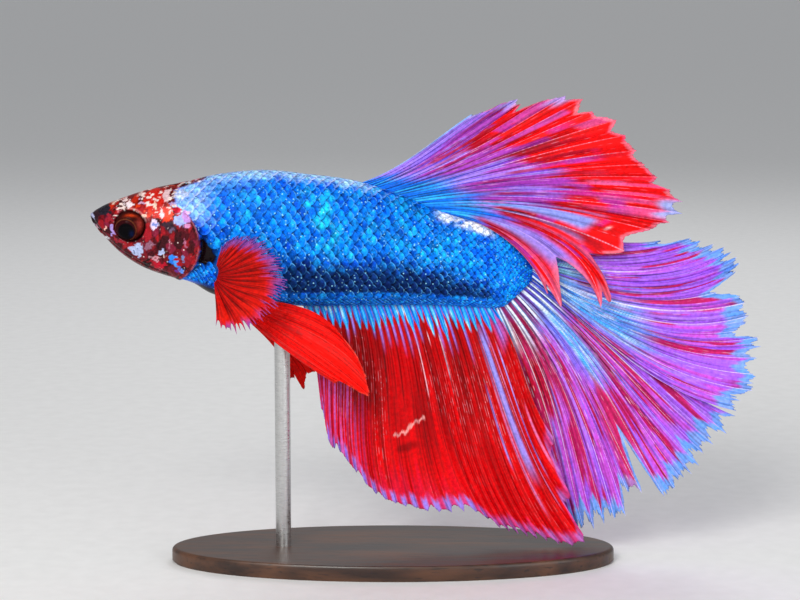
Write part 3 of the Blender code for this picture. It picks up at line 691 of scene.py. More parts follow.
def scales_on(side, roots, grid, lift):
    """Plates laid on one side of the body: places, colours, quads and bake-map spots."""
    t0, angle0, pitch, spacing = roots[:, 0], roots[:, 1], roots[:, 2], roots[:, 3]
    step = 1e-3
    here = on_body(t0, angle0)
    per_t = np.linalg.norm(on_body(t0 + step, angle0) - here, axis=-1) / step
    per_angle = np.linalg.norm(on_body(t0, angle0 - step) - here, axis=-1) / step
    line = np.array(SCALE_GRID[grid], float)
    # Over a square grid, the plate's round shape: places along the body and across it, from -1 to 1.
    u, v = np.meshgrid(line, line, indexing="ij")
    disc_x, disc_w = u * np.sqrt(1 - v * v / 2), v * np.sqrt(1 - u * u / 2)
    radius = np.hypot(disc_x, disc_w)
    length = (PLATE_LENGTH * pitch)[:, None, None] * rng.uniform(0.94, 1.04, (len(t0), 1, 1))
    width = (PLATE_WIDTH * spacing)[:, None, None] * rng.uniform(0.95, 1.05, (len(t0), 1, 1))
    turn = rng.normal(0, 0.07, (len(t0), 1, 1)) - 0.1
    # The rear edge is a little drawn out to a blunt point.
    x = length * (disc_x + 0.1 * np.maximum(disc_x, 0) * (1 - disc_w**2))
    w = width * disc_w
    x, w = x * np.cos(turn) - w * np.sin(turn) * 0.8, w * np.cos(turn) + x * np.sin(turn) * 0.8
    t = np.clip(t0[:, None, None] + x / per_t[:, None, None], 0.0005, 0.9995)
    angle = angle0[:, None, None] - w / per_angle[:, None, None]
    # Over the crown the first scales are thin and lie close.
    standing = 0.25 + 0.75 * soft(here[:, 0], 8.6, 11.2)[:, None, None]
    rise = lift * standing * (0.42 + 0.58 * disc_x) + 0.12 * lift * (1 - radius**2)
    rise = rise + rng.normal(0, 0.008, (len(t0), 1, 1))
    edge = np.maximum(np.abs(u), np.abs(v)) > 0.99
    rise = np.where(edge, -0.05, rise)
    places = on_body(t, angle if side == "left" else math.pi - angle, -SCALE_DEPTH + rise)

    colour = marked_colour(places)
    back_share = height_share(places[..., 0], places[..., 2])
    one, other, third = rng.uniform(0, 1, (3, len(t0), 1, 1))
    nape = (1 - soft(places[..., 0], 11.0, 15)) * soft(back_share, 0.5, 0.7)
    paleness = np.maximum(soft(back_share, 0.89, 0.98) * (1 - soft(places[..., 0], 28, 33)), nape)
    paleness = np.maximum(paleness, soft(colour.min(axis=-1), 0.2, 0.5) * soft(places[..., 0], 30, 34))
    blueness = soft(colour[..., 2] - 1.6 * colour[..., 0], 0.1, 0.4)
    colour = mix(colour, FLANK_DEEP * 0.7, 0.6 * soft(third, 0.6, 0.9) * blueness * (1 - paleness))
    colour = mix(colour, FLANK_LIGHT, 0.4 * (1 - soft(third, 0.1, 0.3)) * blueness * (1 - paleness))
    brightness = 0.64 + 0.6 * one + 0.2 * paleness + 0.25 * soft(here[:, 0], 36, 40)[:, None, None]
    colour = colour * brightness[..., None]
    # Painted shade darkens the front of each scale, where the scale before it lies over it. The first scales
    # have none before them, so their fronts show and aren't in shade.
    settled = soft(here[:, 0], 9.6, 11.4)[:, None, None]
    shaded = (1 - soft(disc_x + 0.25 * disc_w, -0.35, 0.2)) * (1 - 0.5 * paleness) * settled
    colour = mix(colour, colour * 0.22, shaded)
    # A painted highlight on each scale, above and behind its middle.
    painted_highlight = soft(disc_x, -0.1, 0.5) * (1 - soft(np.hypot(disc_w + 0.3, disc_x - 0.35), 0.2, 0.6))
    colour = mix(colour, np.minimum(colour * 2.2 + 0.005, 1), (0.2 + 0.6 * other) * painted_highlight)
    lit = soft(colour.sum(-1), 0.05, 0.5)
    # A pale rim on the rear, lower edge of each scale: partly its own pale edge, partly a painted highlight.
    rim = soft(radius, 0.6, 0.8) * soft(disc_x + 0.7 * disc_w, 0.1, 0.8)
    pale_rim_and_highlight = mix(hex_colour("#2496FF"), hex_colour("#CAD8FF"), paleness)
    colour = mix(colour, pale_rim_and_highlight, rim * (0.1 + 0.9 * lit) * (0.1 + 0.35 * other + 0.45 * paleness))

    one_plate = sheet_faces(len(line), len(line))
    if side == "right":
        one_plate = one_plate[:, ::-1]
    quads = (one_plate[None] + (np.arange(len(t0)) * u.size)[:, None, None]).reshape(-1, 4)
    patch = np.stack((u, v), -1).reshape(-1, 2) * SCALE_PATCH
    turn0 = (angle0 + math.pi / 2) / (2 * math.pi)
    root_spot = half_map(t0, turn0 if side == "left" else 1 - turn0, np.full(len(t0), side == "right"))
    spots = root_spot[:, None, None] + patch[one_plate][None]
    # How strongly painted shade darkens the edge of each scale: less on pale and small scales, none on the
    # first.
    edge_shade = (1 - 0.25 * paleness) * (1.0 if grid == "large" else 0.65)
    edge_shade = edge_shade * soft(here[:, 0], 8.6, 9.8)[:, None, None]
    discs = np.stack(np.broadcast_arrays(disc_x, disc_w, edge_shade), -1)
    return places.reshape(-1, 3), colour.reshape(-1, 3), quads, spots.reshape(-1, 2), discs.reshape(-1, 3)


def bare(roots):
    """Roots that stand on bare skin: face, gill cover and opening, throat, and base of the pectoral fin."""
    here = on_body(roots[:, 0], roots[:, 1])
    aft, up = here[:, 0], here[:, 2]
    from_gill = np.hypot(aft - GILL_AFT, up - GILL_UP)
    face = aft < 9.3
    cover = (from_gill < GILL_RADIUS + 0.3) & (up < 0.6)
    throat = (aft < 14.6) & (up + 0.35 * np.maximum(aft - 11.5, 0) < -6.6)
    opening = gill_opening(aft, up) + gill_opening(aft + 0.4, up) > 0.2
    opening |= line_distance(aft, up, ((13.6, -4.3), (13.5, -6.2))) < 0.55
    socket = np.hypot(aft - EYE_AFT, up - EYE_UP) < EYE_RADIUS + 0.75
    end = roots[:, 0] > 0.985
    return face | cover | throat | opening | socket | end


def breast(roots):
    """Roots in the patch under the gill opening, where the scales are small."""
    here = on_body(roots[:, 0], roots[:, 1])
    return (here[:, 0] < 13.9) & (here[:, 2] < -4.2)


large_roots = scale_rows(5.2, 41.6, main_pitch, 0.0, 0.828, 20)
belly_roots = scale_rows(13.8, 42.4, small_pitch, 0.85, 0.975, 8)
stalk_roots = scale_rows(41.9, 45.2, small_pitch, 0.0, 0.97, 21)
breast_roots = scale_rows(9.3, 14.4, small_pitch, 0.6, 0.86, 11)

# Guanine gives scales the faint gleam of tinted foil, satin under a trace of wet coat. Their growth rings are
# 0.03 mm apart, too fine to show, and are drawn at 0.1 mm.
RING_TURNS = 45.0  # radians of the growth rings' wave from the middle of a scale to its edge
guanine, tree = new_material(
    "guanine_scales",
    Roughness=0.5,
    Metallic=0.12,
    IOR=1.3,
    Specular_IOR_Level=0.08,
    Coat_Weight=0.01,
    Coat_Roughness=0.2,
)
clouded, pigment, cloud, place = pigmented(tree, 0.28, 2.0, (0.32, 0.68), (0.55, 1.4))
along, across, edge_shade = (
    add_node(tree, "ShaderNodeAttribute", output="Fac", attribute_name="scale_" + key)
    for key in ("along", "across", "edge_shade")
)
disc = add_node(tree, "ShaderNodeCombineXYZ", (along, across))
radius = add_node(tree, "ShaderNodeVectorMath", (disc,), "Value", operation="LENGTH")
turn = add_node(tree, "ShaderNodeMath", (radius, RING_TURNS), operation="MULTIPLY")
wave = add_node(tree, "ShaderNodeMath", (turn,), operation="SINE")
ring_tone = add_node(tree, "ShaderNodeMapRange", (wave, -1.0, 1.0, 0.9, 1.08))
ringed = add_node(tree, "ShaderNodeVectorMath", (clouded, ring_tone), operation="MULTIPLY")
# Painted shade round the edge of each scale, where it meets the next.
edge_shadow_colour = add_node(tree, "ShaderNodeVectorMath", (ringed, (0.1, 0.12, 0.16)), operation="MULTIPLY")
edge_shadow_mask = add_node(tree, "ShaderNodeMapRange", (radius, 0.84, 0.97, 0.0, 0.95))
edge_shaded = covered(tree, ringed, edge_shadow_colour, edge_shadow_mask, edge_shade)
# Here and there the upper rear edge of a scale catches the light in a thin line.
upward = add_node(tree, "ShaderNodeMath", (across, -0.6, along), operation="MULTIPLY_ADD")
blotch = add_node(tree, "ShaderNodeTexNoise", {"Vector": place, "Scale": 1 / (0.6 * MM), "Detail": 3.0})
blue = add_node(tree, "ShaderNodeSeparateColor", (pigment,), "Blue")
edge_light = [
    add_node(tree, "ShaderNodeMapRange", span)
    for span in (
        (radius, 0.72, 0.8, 0.0, 1.0),
        (radius, 0.84, 0.92, 1.0, 0.0),
        (upward, 0.1, 0.6, 0.0, 0.75),
        (blotch, 0.47, 0.62, 0.0, 1.0),
        (blue, 0.03, 0.4, 0.35, 1.0),
    )
]
edged = covered(tree, edge_shaded, (*hex_colour("#62BCFF"), 1.0), *edge_light)
fine_rings = add_node(tree, "ShaderNodeTexNoise", {"Vector": place, "Scale": 1 / (0.1 * MM), "Detail": 1.0})
vary(
    tree,
    Base_Color=glinting(tree, edged, place, 0.38, 0.5, "#9CE4FF"),
    Roughness=add_node(tree, "ShaderNodeMapRange", (cloud, 0.3, 0.7, 0.44, 0.62)),
    Normal=add_node(tree, "ShaderNodeBump", {"Strength": 0.25, "Distance": 0.02 * MM, "Height": fine_rings}),
)

for side in ("left", "right"):
    parts = []
    for roots, grid, lift in (
        (large_roots, "large", SCALE_LIFT),
        (belly_roots, "small", SMALL_LIFT),
        (stalk_roots, "small", SMALL_LIFT),
        (breast_roots, "small", BREAST_LIFT),
    ):
        kept = roots[~bare(roots)]
        on_breast = breast(kept)
        kept = kept[on_breast] if roots is breast_roots else kept[~on_breast]
        # The left coat has the row of scales along the ridge of the back.
        midline = kept[:, 4] == 0
        if side == "right":
            kept = kept[~(midline & (kept[:, 1] > math.radians(89.9)))]
        parts.append(scales_on(side, kept, grid, lift))
    places, colours, spots, discs = (np.concatenate([part[k] for part in parts]) for k in (0, 1, 3, 4))
    firsts = np.cumsum([0] + [len(part[0]) for part in parts[:-1]])
    quads = np.concatenate([part[2] + first for part, first in zip(parts, firsts)])
    numbers = {"scale_along": discs[:, 0], "scale_across": discs[:, 1], "scale_edge_shade": discs[:, 2]}
    coat = make_piece(f"scales_{side}", places, quads, colours, spots, **numbers)
    coat.data.materials.append(guanine)
    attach(coat, "root")

# ---------------------------------------------------------------------------------------------------- eyes
# The eye is a firm ball under a clear cornea. It looks a little forward and down, so the iris shows widest
# above and behind: rust red with a bright crescent, round a maroon ring and a large black pupil.

IRIS_RUST = hex_colour("#300A08")
IRIS_CRESCENT = hex_colour("#B03414")
IRIS_MAROON = hex_colour("#2E060C")
LENS_HIGHLIGHT_COLOUR = hex_colour("#7A4028")
PUPIL_RADIUS = 0.93
LENS_RADIUS = 1.13
PUPIL_SHIFT = (-0.33, -0.5)
LENS_SHIFT = (-0.43, -0.38)
LENS_RISE, LENS_GROOVE = 0.13, 0.05
EYE_INSET = 0.035
EYE_RINGS, EYE_SIDES = 72, 96

# A wet, clear cornea has small sharp highlights, and the iris under it is a mesh of fibres, 0.2 mm apart.
eye_surface, tree = new_material(
    "wet_cornea_over_iris",
    Roughness=0.5,
    IOR=1.2,
    Specular_IOR_Level=0.1,
    Coat_Weight=0.12,
    Coat_Roughness=0.03,
    Coat_IOR=1.3,
)
vary(tree, Base_Color=pigmented(tree, 0.2, 3.0, (0.3, 0.7), (0.75, 1.3))[0])

for side, sign in (("left", -1.0), ("right", 1.0)):
    low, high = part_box(f"eye_{side}")
    centre = (low + high) / 2 / MM
    reach = (high - low) / 2 / MM
    polar = np.linspace(0.02, math.pi * 0.62, EYE_RINGS)
    spin = 2 * math.pi * np.arange(EYE_SIDES) / EYE_SIDES
    polar_grid, spin_grid = np.meshgrid(polar, spin, indexing="ij")
    ball = np.stack(
        (
            np.sin(polar_grid) * np.cos(spin_grid) * reach.x,
            np.cos(polar_grid) * reach.y,
            np.sin(polar_grid) * np.sin(spin_grid) * reach.z,
        ),
        -1,
    )
    flat_x, flat_z = ball[..., 0], ball[..., 2]
    from_lens = np.hypot(flat_x - LENS_SHIFT[0], flat_z - LENS_SHIFT[1])
    ball[..., 1] += LENS_RISE * (1 - soft(from_lens, LENS_RADIUS - 0.15, LENS_RADIUS + 0.05))
    ball[..., 1] -= LENS_GROOVE * np.exp(-(((from_lens - LENS_RADIUS - 0.06) / 0.06) ** 2))
    ball[..., 1] -= EYE_INSET
    places = np.stack(
        (centre.x - SNOUT_X + flat_x, centre.y + sign * ball[..., 1], centre.z - SNOUT_Z + flat_z), -1
    )
    colour = np.broadcast_to(IRIS_RUST, places.shape).copy()
    spread = mottle(places, 0.3, 21)
    behind = np.exp(-(((flat_x - 1.1) / 0.32) ** 2) - ((flat_z - 0.15) / 0.8) ** 2)
    colour = mix(colour, hex_colour("#962E28"), np.clip(0.85 * behind + 0.1 * soft(spread, 0.5, 0.8), 0, 1))
    crescent = np.exp(-(((flat_z - 1.12 + 0.25 * flat_x**2) / 0.13) ** 2) - ((flat_x - 0.1) / 0.55) ** 2)
    colour = mix(colour, IRIS_CRESCENT, np.clip(1.15 * crescent, 0, 1))
    # Painted shade of the socket on the outer edge of the eye.
    colour = mix(colour, hex_colour("#2A0808"), 0.75 * soft(np.hypot(flat_x, flat_z), 1.38, 1.5))
    colour = mix(colour, IRIS_MAROON, 1 - soft(from_lens, LENS_RADIUS - 0.1, LENS_RADIUS - 0.02))
    # A painted highlight along the raised edge of the lens.
    lens_edge_highlight = np.exp(-(((from_lens - LENS_RADIUS + 0.02) / 0.045) ** 2))
    colour = mix(colour, LENS_HIGHLIGHT_COLOUR, 0.8 * lens_edge_highlight)
    from_pupil = np.hypot(flat_x - PUPIL_SHIFT[0], flat_z - PUPIL_SHIFT[1])
    colour = mix(colour, hex_colour("#040306"), 1 - soft(from_pupil, PUPIL_RADIUS - 0.16, PUPIL_RADIUS))
    # A painted dark blue reflection low in the pupil.
    pupil_reflection = np.exp(-(((flat_x - 0.25) / 0.22) ** 2) - ((flat_z + 0.75) / 0.3) ** 2)
    colour = mix(colour, hex_colour("#0B1C4A"), 0.5 * pupil_reflection * (from_pupil < PUPIL_RADIUS))
    quads, tris = hoop_faces(EYE_RINGS, EYE_SIDES)
    if side == "left":
        quads, tris = quads[:, ::-1], tris[:, ::-1]
    places, colour = (
        np.concatenate((grid.reshape(-1, 3), grid[0].mean(axis=0)[None], grid[-1].mean(axis=0)[None]))
        for grid in (places, colour)
    )
    spread_out = polar_grid / polar[-1] * 0.47
    spot = np.stack((0.5 + spread_out * np.cos(spin_grid), 0.5 + spread_out * np.sin(spin_grid)), -1)
    spot = np.concatenate((spot.reshape(-1, 2), ((0.5, 0.5), (0.985, 0.985))))
    corner_spots = np.concatenate((spot[quads.ravel()], spot[tris.ravel()]))
    eye = make_piece(f"eyeball_{side}", places, quads, colour, corner_spots, tris)
    eye.data.materials.append(eye_surface)
    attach(eye, "root")
    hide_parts(f"eye_{side}")

# ---------------------------------------------------------------------------------------------- dorsal fin
# A fin is a double membrane, 0.1 mm thick, stretched between bony rays that split again and again towards the
# edge, where their tips stand out like a comb. The dorsal fin turns from blue through violet to red.

FIN_ROOT_DEPTH = 0.35
HALF_THICK, RAY_SWELL = 0.05, 0.03


def swept(root, tip, root_angle, tip_angle, share):
    """Places on the smooth lines of rays that leave their roots and reach their tips at given angles."""
    run = np.hypot(tip[0] - root[0], tip[1] - root[1]) * 0.36
    a, b = np.radians(root_angle), np.radians(tip_angle)
    leave = root[0] + run * np.cos(a), root[1] + run * np.sin(a)
    arrive = tip[0] - run * np.cos(b), tip[1] - run * np.sin(b)
    w = (1 - share) ** 3, 3 * share * (1 - share) ** 2, 3 * share**2 * (1 - share), share**3
    return [w[0] * root[k] + w[1] * leave[k] + w[2] * arrive[k] + w[3] * tip[k] for k in (0, 1)]


def comb(ray, lines):
    """0 on the lines that each ray splits into, and 1 midway between them."""
    return np.abs(np.sin(math.pi * ray * lines))


def hash_of(number, seed):
    """A number from 0 to 1 for each whole number."""
    mixed = np.sin(np.asarray(number) * 91.17 + seed * 47.3) * 9631.77
    return mixed - np.floor(mixed)


def streaks(ray, share, lines, length, seed):
    """Noise from 0 to 1 that runs along the rays: one value across each fine line, changing along it."""
    line = np.floor(ray * lines)
    along = share / length + hash_of(line, seed) * 40
    return mottle(np.stack((line * 3.7, along, line * 0.0 + seed), -1), 1.0, seed)


def drifts(ray, share, wide, length, seed):
    """Noise from 0 to 1 in patches some rays wide and drawn out along them."""
    return mottle(np.stack((ray / wide, share / length, ray * 0.0 + seed), -1), 1.0, seed)


def near_ray(ray, centre, half):
    """1 on a ray and 0 from half away."""
    return 1 - soft(np.abs(ray - centre), half * 0.35, half)


def with_crease_shade(colour, ray, share, lines, amount, seed):
    """Painted shade in the folds between the fine branches of the rays, each fold with its own gaps."""
    fold = 1 - soft(np.abs(ray * lines - np.floor(ray * lines) - 0.5), 0.06, 0.35)
    fold = fold * soft(streaks(ray, share, lines, 0.3, seed), 0.45, 0.65) * soft(share, 0.02, 0.08)
    return mix(colour, colour * (0.2, 0.14, 0.22), amount * fold)


def palette(*codes):
    return [hex_colour(code) for code in codes]


def fin_piece(
    name,
    node,
    rays,
    root,
    notches,
    colour,
    finish,
    per_ray,
    rows,
    teeth,
    lines,
    pleat=0.11,
    ribbing=0.035,
    spread=1.4,
):
    """A fin over its rays, as in the solids: rays holds, for some rays by number, (ray, tip aft, tip up,
    angle at the root, angle at the tip, y of the tip), and notches holds (ray, half the width in rays, depth
    as a share of the ray). teeth holds the fin's reach past those tips, the depth of the webs between rays
    and between fine lines, and how much the tips differ. colour gives a place's colour, beading and rungs
    from its ray, its share of the way along it, what is left of it to the edge, and where it is. The web
    waves by pleat between rays and by ribbing between fine lines. spread is the power of the share by which
    a ray bends to the y of its tip."""
    count = int(rays[-1][0] - rays[0][0])
    ray = rays[0][0] + np.linspace(0, count, count * per_ray + 1)
    past, web, small_web, uneven = teeth
    reach = 1.0 + past - web * (0.4 + 1.2 * hash_of(np.floor(ray), 4)) * comb(ray, 1)
    reach -= small_web * (0.5 + hash_of(np.floor(ray * lines), 5)) * comb(ray, lines) ** 0.8
    reach -= uneven * hash_of(np.round(ray * lines), 3) * np.abs(np.cos(math.pi * ray * lines))
    for at, half, depth in notches:
        reach -= depth * np.maximum(0.0, 1.0 - np.abs(ray - at) / half)
    wide, reach = ray[:, None], reach[:, None]
    share = np.linspace(0, 1, rows + 1)[None] * reach
    root_x, root_y, root_z = (value[:, None] for value in root((ray - ray[0]) / count))
    tip_x, tip_z, root_angle, tip_angle, tip_y = (value[:, None] for value in smooth_rows(rays, ray).T)
    x, z = swept((root_x, root_z), (tip_x, tip_z), root_angle, tip_angle, share)
    waves = 0.3 + 1.4 * mottle(np.stack((wide * 0.8 + 0 * share, share * 2, 0 * share + per_ray), -1), 1.0, 3)
    y = root_y + (tip_y - root_y) * share**spread + pleat * waves * np.cos(2 * math.pi * wide) * share**0.6
    split = soft(share, 0.25, 0.6)
    uneven_ribs = mottle(np.stack((wide * 0.6 + 0 * share, share * 3, 0 * share + 5), -1), 1.0, 6)
    ribs = ribbing * (0.2 + 1.5 * uneven_ribs)
    y = y + ribs * (1 - split) * np.cos(2 * math.pi * wide * max(lines // 2, 1)) * soft(share, 0.02, 0.15)
    y = y + ribs * split * np.cos(2 * math.pi * wide * lines)
    middle = np.stack((x, y, z), -1)
    normal = np.cross(np.gradient(middle, axis=0), np.gradient(middle, axis=1))
    normal /= np.maximum(np.linalg.norm(normal, axis=-1, keepdims=True), 1e-9)
    normal *= np.where(normal[..., 1:2] > 0, -1.0, 1.0)
    thick = HALF_THICK + RAY_SWELL * (1 - comb(wide, lines)) * (1 - 0.6 * share)
    faces = [(middle + way * normal * thick[..., None]).reshape(-1, 3) for way in (1, -1)]
    places = np.concatenate(faces)
    wide = np.broadcast_to(wide, share.shape)
    rest = (reach - share) * np.hypot(tip_x - root_x, tip_z - root_z)
    shades, beads, rungs = colour(wide, share, rest, middle)
    # Millimetres between rays, by which the drawn lines keep their widths, except close to the root.
    spacing = np.maximum(np.linalg.norm(np.gradient(middle, axis=0), axis=-1) * per_ray, 0.45)
    across, deep = share.shape
    front = sheet_faces(across, deep)[:, (0, 3, 2, 1)]
    shift = across * deep
    rim_lines = (
        np.arange(across)[::-1] * deep,
        np.arange(across) * deep + deep - 1,
        np.arange(deep),
        (across - 1) * deep + np.arange(deep)[::-1],
    )
    rims = [np.stack((line[:-1], line[1:], line[1:] + shift, line[:-1] + shift), -1) for line in rim_lines]
    quads = np.concatenate([front, front[:, ::-1] + shift, *rims])
    # The rays may run either way round, so the faces are turned by which way the middle one faces.
    corner = places[front[len(front) // 2]]
    if np.cross(corner[1] - corner[0], corner[3] - corner[0])[1] > 0:
        quads = quads[:, ::-1]
    u, v = 0.01 + 0.98 * np.linspace(0, 1, across), 0.01 + 0.47 * np.linspace(0, 1, deep)
    spot = np.stack(np.meshgrid(u, v, indexing="ij"), -1).reshape(-1, 2)
    # The map has the front in its lower half and the back in its upper, and the rims in slivers at the edge.
    corner_spots = spot[quads.ravel() % shift]
    corner_spots[:, 1] += np.repeat(np.arange(len(quads)), 4) // len(front) == 1
    corner_spots[:, 1] = np.where(corner_spots[:, 1] > 1, corner_spots[:, 1] - 0.5, corner_spots[:, 1])
    rim_corners = np.arange(len(front) * 8, len(corner_spots))
    corner_spots[rim_corners] += 0.002 * (quads.ravel()[rim_corners] >= shift)[:, None]
    numbers = {
        "ray": wide,
        "along": share,
        "beading": beads + 0 * share,
        "rungs": rungs + 0 * share,
        "spacing": spacing,
    }
    numbers = {key: np.tile(values.ravel(), 2) for key, values in numbers.items()}
    piece = make_piece(name, places, quads, np.tile(shades.reshape(-1, 3), (2, 1)), corner_spots, **numbers)
    piece.data.materials.append(finish)
    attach(piece, "root")
    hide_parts(node)
    return piece


def along_edge(first, last, column):
    """Roots along the back or the belly between two distances aft, sunk in the skin."""
    sign = 1 if column == "back" else -1

    def root(share):
        aft = first + (last - first) * share
        edge = np.interp(aft, BACK_AFT, BACK_UP) if sign > 0 else np.interp(aft, BELLY_AFT, BELLY_UP)
        return aft, 0.0 * aft, edge - sign * FIN_ROOT_DEPTH

    return root


# Millimetres across a fin of a ray, of the finer lines it splits into, and of the fold between two rays, and
# along it of a bony segment of a ray, and from one rung of the ladder at a root to the next.
RAY_WIDTH, BRANCH_WIDTH, FOLD_WIDTH = 0.11, 0.07, 0.12
SEGMENT_LENGTH, RUNG_LENGTH = 0.35, 0.36


def membrane(name, lines, bead_colour, length, fold_shade_strength, gap, roughness=0.45):
    """Fin membrane: thin, moist and satin. The rays show through it as pale lines whose bony segments stand
    out as beads, or as rungs near the root, and painted shade darkens the creases beside them. length is that
    of the fin's rays."""
    made, tree = new_material(name, Roughness=roughness, IOR=1.25, Specular_IOR_Level=0.3)
    ray, along, beading, rungs, spacing = (
        add_node(tree, "ShaderNodeAttribute", output="Fac", attribute_name=key)
        for key in ("ray", "along", "beading", "rungs", "spacing")
    )

    def drawn(per_ray, shift, width, patch, gap):
        """Lines down the fin, so many to a ray and so many millimetres wide, and where they are strong."""
        at = add_node(tree, "ShaderNodeMath", (ray, per_ray, shift), operation="MULTIPLY_ADD")
        off = add_node(tree, "ShaderNodeMath", (at, 0.5), operation="PINGPONG")
        off = add_node(tree, "ShaderNodeMath", (off, spacing), operation="MULTIPLY")
        line = add_node(tree, "ShaderNodeMapRange", (off, 0.3 * width * per_ray, width * per_ray, 1.0, 0.0))
        whole = add_node(tree, "ShaderNodeMath", (at,), operation="ROUND")
        down = add_node(tree, "ShaderNodeMath", (along, length / patch), operation="MULTIPLY")
        spot = add_node(tree, "ShaderNodeCombineXYZ", (whole, down, shift * 9))
        noise = add_node(tree, "ShaderNodeTexNoise", {"Vector": spot, "Scale": 1.0, "Detail": 1.0})
        return line, add_node(tree, "ShaderNodeMapRange", (noise, gap, gap + 0.12, 0.0, 1.0))

    shade, _, cloud, _ = pigmented(tree, 0.35, 3.0, (0.3, 0.7), (0.8, 1.2))
    # Painted shade in the folds between rays, lighter where rungs cross and towards the edge.
    fold, folded = drawn(1.0, 0.3, FOLD_WIDTH, 7.0, 0.4)
    fold_shade_colour = add_node(tree, "ShaderNodeVectorMath", (shade, (0.14, 0.08, 0.22)), operation="MULTIPLY")
    flat = add_node(tree, "ShaderNodeMapRange", (rungs, 0.0, 1.0, 1.0, 0.3))
    fading = add_node(tree, "ShaderNodeMapRange", (along, 0.7, 0.95, fold_shade_strength, 0.2 * fold_shade_strength))
    shade = covered(tree, shade, fold_shade_colour, fold, folded, flat, fading)
    steps = add_node(tree, "ShaderNodeMath", (along, length / RUNG_LENGTH), operation="MULTIPLY")
    steps = add_node(tree, "ShaderNodeMath", (ray, 1.7, steps), operation="MULTIPLY_ADD")
    rung = add_node(tree, "ShaderNodeMath", (steps, 0.5), operation="PINGPONG")
    rung = add_node(tree, "ShaderNodeMapRange", (rung, 0.34, 0.47, 0.0, 0.7))
    between_rungs = add_node(tree, "ShaderNodeVectorMath", (shade, (0.2, 0.25, 0.4)), operation="MULTIPLY")
    shade = covered(tree, shade, between_rungs, rung, rungs)
    bone = (*hex_colour(bead_colour), 1.0)
    branch, shown = drawn(float(lines), 0.0, BRANCH_WIDTH, 1.6, 0.5)
    parting = add_node(tree, "ShaderNodeMapRange", (along, 0.12, 0.35, 0.0, 0.55))
    shade = covered(tree, shade, bone, branch, shown, beading, parting)
    ridge, bead = drawn(1.0, 0.0, RAY_WIDTH, SEGMENT_LENGTH, gap)
    strong = add_node(tree, "ShaderNodeMapRange", (bead, 0.0, 1.0, 1.1 - 1.6 * gap, 1.0))
    vary(
        tree,
        Base_Color=covered(tree, shade, bone, ridge, strong, beading),
        Roughness=add_node(tree, "ShaderNodeMapRange", (cloud, 0.3, 0.7, 0.38, 0.55)),
        Normal=add_node(tree, "ShaderNodeBump", {"Strength": 0.3, "Distance": 0.03 * MM, "Height": branch}),
    )
    return made


DORSAL_RAYS = (
    (0, 38.6, 10.0, 16, 34, 0.4),
    (3, 43.1, 11.5, 18, 32, 0.1),
    (6.5, 49.0, 11.9, 17, 30, -0.5),
    (9, 52.8, 9.5, 15, 16, -0.2),
    (11, 54.9, 6.5, 13, 6, 0.4),
    (13, 57.1, 3.9, 11, -2, 0.3),
    (15, 59.5, 1.6, 9, -8, -0.4),
    (16.5, 59.0, -0.1, 7, -8, -0.9),
    (18, 56.4, -1.2, 5, -14, -1.2),
    (19, 53.7, -3.1, 3, -24, -1.7),
    (20.2, 53.0, -8.5, 1, -74, -2.3),
    (21, 52.0, -8.3, 0, -78, -2.5),
    (22, 50.1, -8.3, 0, -74, -2.6),
    (23, 47.9, -8.5, -1, -70, -2.6),
    (24, 46.5, -7.3, -4, -66, -2.5),
)
DORSAL_ROOT = (27.3, 35.9)
DORSAL_NOTCHES = (
    (1.3, 0.8, 0.05),
    (4.4, 1.0, 0.13),
    (5.5, 0.9, 0.04),
    (7.7, 0.9, 0.07),
    (9.6, 0.5, 0.04),
    (19.6, 0.5, 0.16),
    (20.6, 0.35, 0.06),
    (22.0, 0.95, 0.32),
    (23.5, 0.4, 0.1),
)


